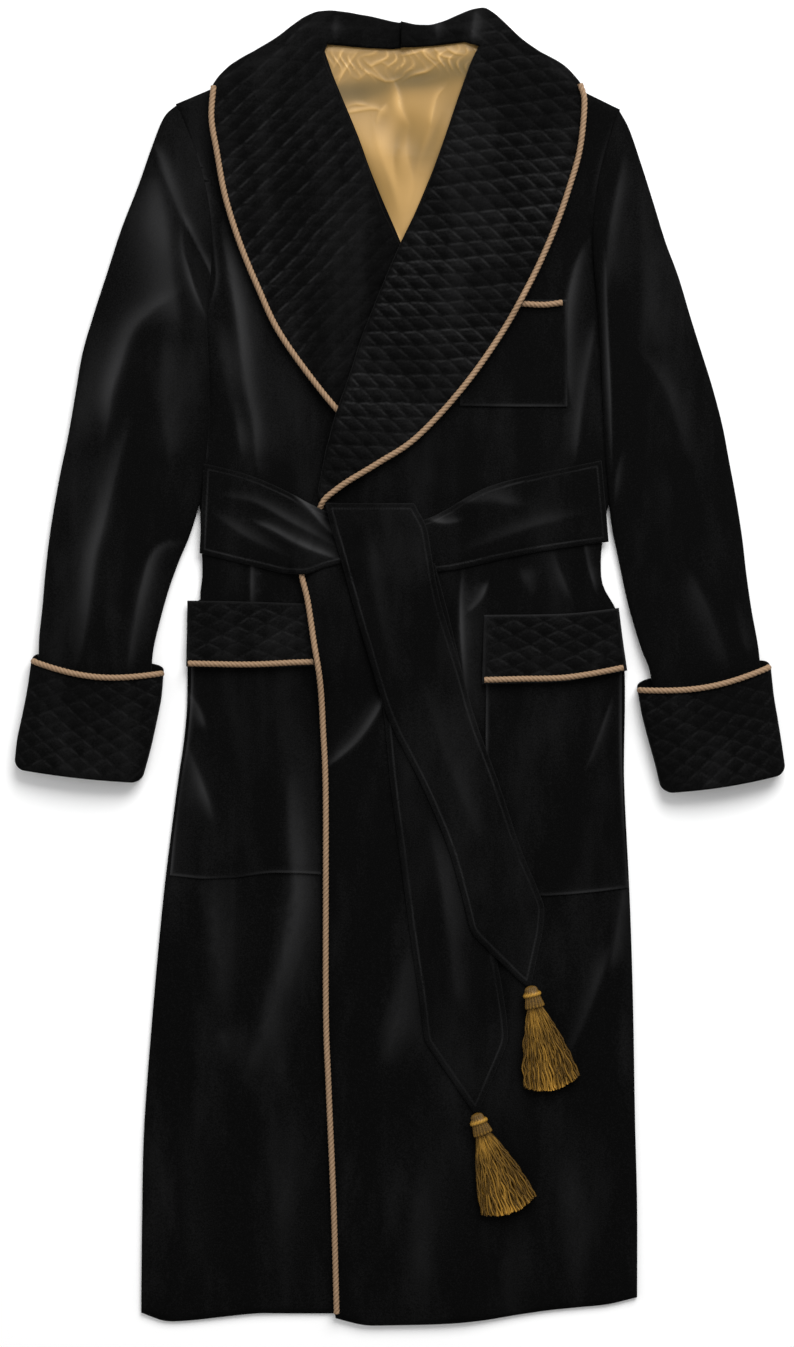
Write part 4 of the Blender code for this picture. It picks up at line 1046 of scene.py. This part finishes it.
def tube(node, look, rows, around, rings, folds=(), quilt=None, lip=0.0):
    """A sleeve or cuff laid flat: a grid that is bent round its rings and joined."""
    bm = bmesh.new()
    bmesh.ops.create_grid(bm, x_segments=around, y_segments=rings, size=0.5)
    grid = np.array([v.co.xy for v in bm.verts])
    # Most of the columns are spent on the top, which shows.
    turn = np.interp(grid[:, 0] + 0.5, [0, TOP_SHARE, 1], [0, 0.5, 1])
    down = 0.5 - grid[:, 1]
    place, across, width = on_tube(rows, turn, down, lip)
    over = np.where(turn <= 0.5, np.abs(np.sin(2 * math.pi * turn)) ** 0.5, 0.0)
    lift, shine = folds_at(place[:, :2], folds)
    painted_light_and_tone = shine * over
    rise = lift * over
    # Both edges' steps are taken together, which makes each about 1.41 times too long.
    steps = np.diff(smooth_rows(rows, 50)[:, :4], axis=0)
    length = float(np.linalg.norm(steps, axis=1).sum()) / 1.41
    if quilt is not None:
        local = np.column_stack([(across - 0.5) * width, -down * length])
        edge_gap = np.minimum(down, 1 - down) * length
        swell, bright = quilt(local, edge_gap)
        rise += swell * over
        painted_light_and_tone += bright * np.where(turn <= 0.5, 1.0, 0.3)
    place[:, 2] += rise
    painted = bm.verts.layers.float.new("shine")
    for v, at, bright in zip(bm.verts, place, painted_light_and_tone):
        v.co = Vector(at) * MM
        v[painted] = float(bright)
    bmesh.ops.remove_doubles(bm, verts=bm.verts, dist=2e-5)
    bmesh.ops.recalc_face_normals(bm, faces=bm.faces)
    highest = max(bm.faces, key=lambda f: f.calc_center_median().z)
    if highest.normal.z < 0:
        bmesh.ops.reverse_faces(bm, faces=bm.faces)
    bmesh.ops.triangulate(bm, faces=bm.faces)
    bm.verts.index_update()
    plan = np.array([v.co for v in bm.verts]) / MM
    corners = np.array([[v.index for v in f.verts] for f in bm.faces])
    pile.mark(plan[:, :2], corners, plan[:, 2])
    painted_light_and_tone = np.array([v[painted] for v in bm.verts])
    bm.verts.layers.float.remove(painted)
    area = sum(f.calc_area() for f in bm.faces)
    made = finish_piece(bm, "cloth_" + node, look, node, painted_light_and_tone, SLEEVE_WALL)


def cuff_edge(rows):
    """The route of the piping over a cuff's turned edge."""
    turn = np.linspace(-0.01, 0.51, 60)
    place, _, _ = on_tube(rows, turn, np.zeros(60))
    out = np.column_stack([-np.cos(2 * math.pi * turn), np.zeros(60), np.sin(2 * math.pi * turn)])
    out[:, 0] *= np.sign(place[-1, 0] - place[0, 0])
    place += out * np.array([-0.75, 0, 0.9]) * CORD
    place[:, 1] -= 1.0
    place[:, 2] = np.maximum(place[:, 2], CORD + 0.1)
    return place


tube("sleeve_right", COTTON_VELVET, RIGHT_SLEEVE, 110, 140, RIGHT_SLEEVE_FOLDS)
tube("sleeve_left", COTTON_VELVET, LEFT_SLEEVE, 110, 140, LEFT_SLEEVE_FOLDS)
for hand, cuff in (("right", RIGHT_CUFF), ("left", LEFT_CUFF)):
    tube("cuff_" + hand, QUILTED_VELVET, cuff, 136, 60, quilt=cuff_quilt, lip=CUFF_LIP)
for hand, cuff in (("right", RIGHT_CUFF), ("left", LEFT_CUFF)):
    rope("cord_cuff_" + hand, cuff_edge(cuff), "piping_cuff_" + hand)


# Tassels

# The outline of a tassel's head, from its root: distance down, radius.
HEAD_OUTLINE = [
    (-4.0, 1.6),
    (-2.8, 4.4),
    (-1.0, 5.8),
    (1.0, 6.0),
    (2.4, 7.6),
    (3.6, 8.6),
    (5.0, 8.8),
    (6.4, 8.4),
    (7.2, 7.0),
    (8.2, 7.2),
    (10.0, 7.8),
    (12.0, 8.2),
    (14.0, 8.7),
    (16.0, 9.0),
    (17.4, 8.6),
    (18.0, 5.0),
]


def strands(root, way, side, base, chance, length, wide):
    """Yarns that fan out from a tassel's neck, each one kinked where it was twisted."""
    curve = bpy.data.curves.new("yarn", "CURVE")
    curve.dimensions = "3D"
    curve.bevel_depth = YARN * MM
    curve.bevel_resolution = 0
    curve.use_fill_caps = True
    for k in range(YARNS):
        layer = k % YARN_LAYERS
        share = (k + 0.5) / YARNS - 0.5 + chance.uniform(-0.02, 0.02)
        reach = length * chance.uniform(0.975, 1.0) - 8.0 * (2 * share) ** 2
        wave, phase, pace = chance.uniform(0.3, 1.3), chance.uniform(0, 6.3), chance.uniform(16, 34)
        spline = curve.splines.new("POLY")
        spline.points.add(YARN_STEPS)
        for m, point in enumerate(spline.points):
            part = m / YARN_STEPS
            distance = TASSEL_NECK + (reach - TASSEL_NECK) * part
            bell = 9.0 + (wide - 9.0) * (part**0.8) * (0.9 + 0.1 * math.sin(part * math.pi))
            kink = wave * math.sin(part * pace + phase) * min(1.0, part * 3)
            at = root + way * distance + side * (share * bell + kink)
            z = base + 1.6 + layer * 2.3 + 0.6 * math.sin(part * 21.0 + phase * 2) - part * (layer - 1) * 0.8
            point.co = (at[0] * MM, at[1] * MM, max(z, base + 0.6) * MM, 1)
            point.radius = 0.9 + 0.35 * part
    return mesh_of("yarn", curve)


def skirt(node, root, way, side, base, chance, length, wide):
    """A tassel's yarns. Their cut ends are pale, the outer ones get painted shade, and each has its own tone.
    """
    bm = bmesh.new()
    bm.from_mesh(strands(root, way, side, base, chance, length, wide))
    place = np.array([v.co.xy for v in bm.verts]) / MM - root
    down = place @ way / length
    count = len(bm.verts) // YARNS
    own = np.array([((v.index // count) * 37 % 100) / 100 for v in bm.verts])
    tones = -0.08 + 0.50 * own * np.clip(down * 1.4, 0.6, 1) + 0.26 * np.clip((down - 0.93) / 0.05, 0, 1)
    outer = np.array([abs(2 * (v.index // count + 0.5) / YARNS - 1) for v in bm.verts])
    # A band about a quarter of the way down is lighter, and the outer yarns are darkened as painted shade.
    tones += 0.20 * np.exp(-(((down - 0.27) / 0.12) ** 2)) - 0.24 * outer**3
    finish_piece(bm, "yarn_" + node, TASSEL_YARN, node, tones, 0)


def head(node, root, way, side, base):
    """A tassel's head: a knob, a pale binding, and short yarns over the neck. Turned from its outline."""
    bm = bmesh.new()
    verts = [bm.verts.new((radius, 0, distance)) for distance, radius in HEAD_OUTLINE]
    edges = [bm.edges.new(pair) for pair in zip(verts, verts[1:])]
    ring = {"axis": (0, 0, 1), "cent": (0, 0, 0), "steps": 96, "angle": 2 * math.pi}
    bmesh.ops.spin(bm, geom=verts + edges, use_merge=True, **ring)
    bmesh.ops.remove_doubles(bm, verts=bm.verts, dist=1e-4)
    bmesh.ops.holes_fill(bm, edges=[e for e in bm.edges if e.is_boundary], sides=100)
    tones = []
    for v in bm.verts:
        x, y, distance = v.co
        turn = math.atan2(y, x)
        bound = 2.2 < distance < 7.0
        twist = math.cos(turn * 16 + distance * (1.6 if bound else 0.15))
        wound = 1 + (0.03 if bound else 0.07) * twist
        pale = 0.60 * math.exp(-(((distance - 4.4) / 1.8) ** 2))
        pale += 0.16 * math.exp(-(((distance - 16.6) / 1.3) ** 2))
        tones.append(-0.10 + pale + 0.22 * twist)
        at = root + way * distance + side * y * wound
        v.co = Vector((at[0], at[1], base + 6.4 + x * wound * 0.72)) * MM
    bmesh.ops.recalc_face_normals(bm, faces=bm.faces)
    finish_piece(bm, "head_" + node, TASSEL_YARN, node, np.array(tones), 0)


def tassel(node, root, tip, wide, seed):
    """A bound head, and yarn that fans out flat from it. The tip is where the middle yarns end."""
    root, tip = np.array(root, float), np.array(tip, float)
    length = float(np.linalg.norm(tip - root))
    way = (tip - root) / np.linalg.norm(tip - root)
    side = np.array([-way[1], way[0]])
    fan = [root + way * d + side * s * wide * d / length for d in range(8, 100, 4) for s in (-0.5, 0, 0.5)]
    base = float(pile.over(np.array(fan), 2.0).max()) + GAP
    skirt(node, root, way, side, base, random.Random(seed), length, wide)
    head(node, root, way, side, base)


tassel("tassel_upper", (127.5, -313.5), (150, -411), 58, 3)
tassel("tassel_lower", (75.2, -436.6), (109, -530), 60, 8)


# Floor, light and camera


def light_panel(name, place, size, power):
    """A white panel of light that faces the jacket, in metres and watts."""
    data = bpy.data.lights.new(name, "AREA")
    data.shape = "RECTANGLE"
    data.size, data.size_y = size
    data.energy = power
    lamp = bpy.data.objects.new(name, data)
    lamp.location = place
    lamp.rotation_euler = (Vector((0, 0, 0)) - Vector(place)).to_track_quat("-Z", "Y").to_euler()
    bpy.context.scene.collection.objects.link(lamp)


# A sheet of white paper, a little below the jacket so that the two don't meet.
PAPER_HALF = 6.0
PAPER_DROP = 0.0006
floor_mesh = bpy.data.meshes.new("floor")
bm = bmesh.new()
bmesh.ops.create_grid(bm, x_segments=1, y_segments=1, size=PAPER_HALF)
bmesh.ops.translate(bm, verts=bm.verts, vec=(0, 0, -PAPER_DROP))
bm.to_mesh(floor_mesh)
bm.free()
floor = bpy.data.objects.new("floor", floor_mesh)
bpy.context.scene.collection.objects.link(floor)
paper, _, paper_shader = shader_of("white_paper_sweep")
paper_shader.inputs["Base Color"].default_value = colour("FFFFFF")
paper_shader.inputs["Roughness"].default_value = 0.9
floor_mesh.materials.append(paper)

world = bpy.data.worlds.new("studio")
world.use_nodes = True
world.node_tree.nodes["Background"].inputs["Color"].default_value = colour("FFFFFF")
world.node_tree.nodes["Background"].inputs["Strength"].default_value = 0.5
bpy.context.scene.world = world
light_panel("key", (0.9, 2.6, 2.5), (2.6, 2.6), 155)
light_panel("side", (-2.6, 0.4, 1.1), (1.2, 2.4), 12)
bpy.context.scene.view_settings.view_transform = "Standard"

# The camera hangs straight above the middle of the photo, so far up that the photo's height fits. It is
# then set nearer by a small share, and in metres raised by the cloth's height and moved up the jacket.
LENS = 85.0
SENSOR = 36.0
NEARER = 1.006
CLOTH_TOP = 0.012
UP_THE_JACKET = 0.001
camera_data = bpy.data.cameras.new("camera")
camera = bpy.data.objects.new("camera", camera_data)
bpy.context.scene.collection.objects.link(camera)
bpy.context.scene.camera = camera
camera_data.lens = LENS
camera_data.sensor_width = SENSOR
across = (PHOTO[0] / 2 - PHOTO_MIDDLE[0]) * PHOTO_PIXEL * MM
up = (PHOTO_MIDDLE[1] - PHOTO[1] / 2) * PHOTO_PIXEL * MM
distance = PHOTO[1] * PHOTO_PIXEL * MM / 2 / (SENSOR / 2 / LENS) / NEARER
camera.location = (across, up + UP_THE_JACKET, distance + CLOTH_TOP)
camera_data.clip_end = 50.0
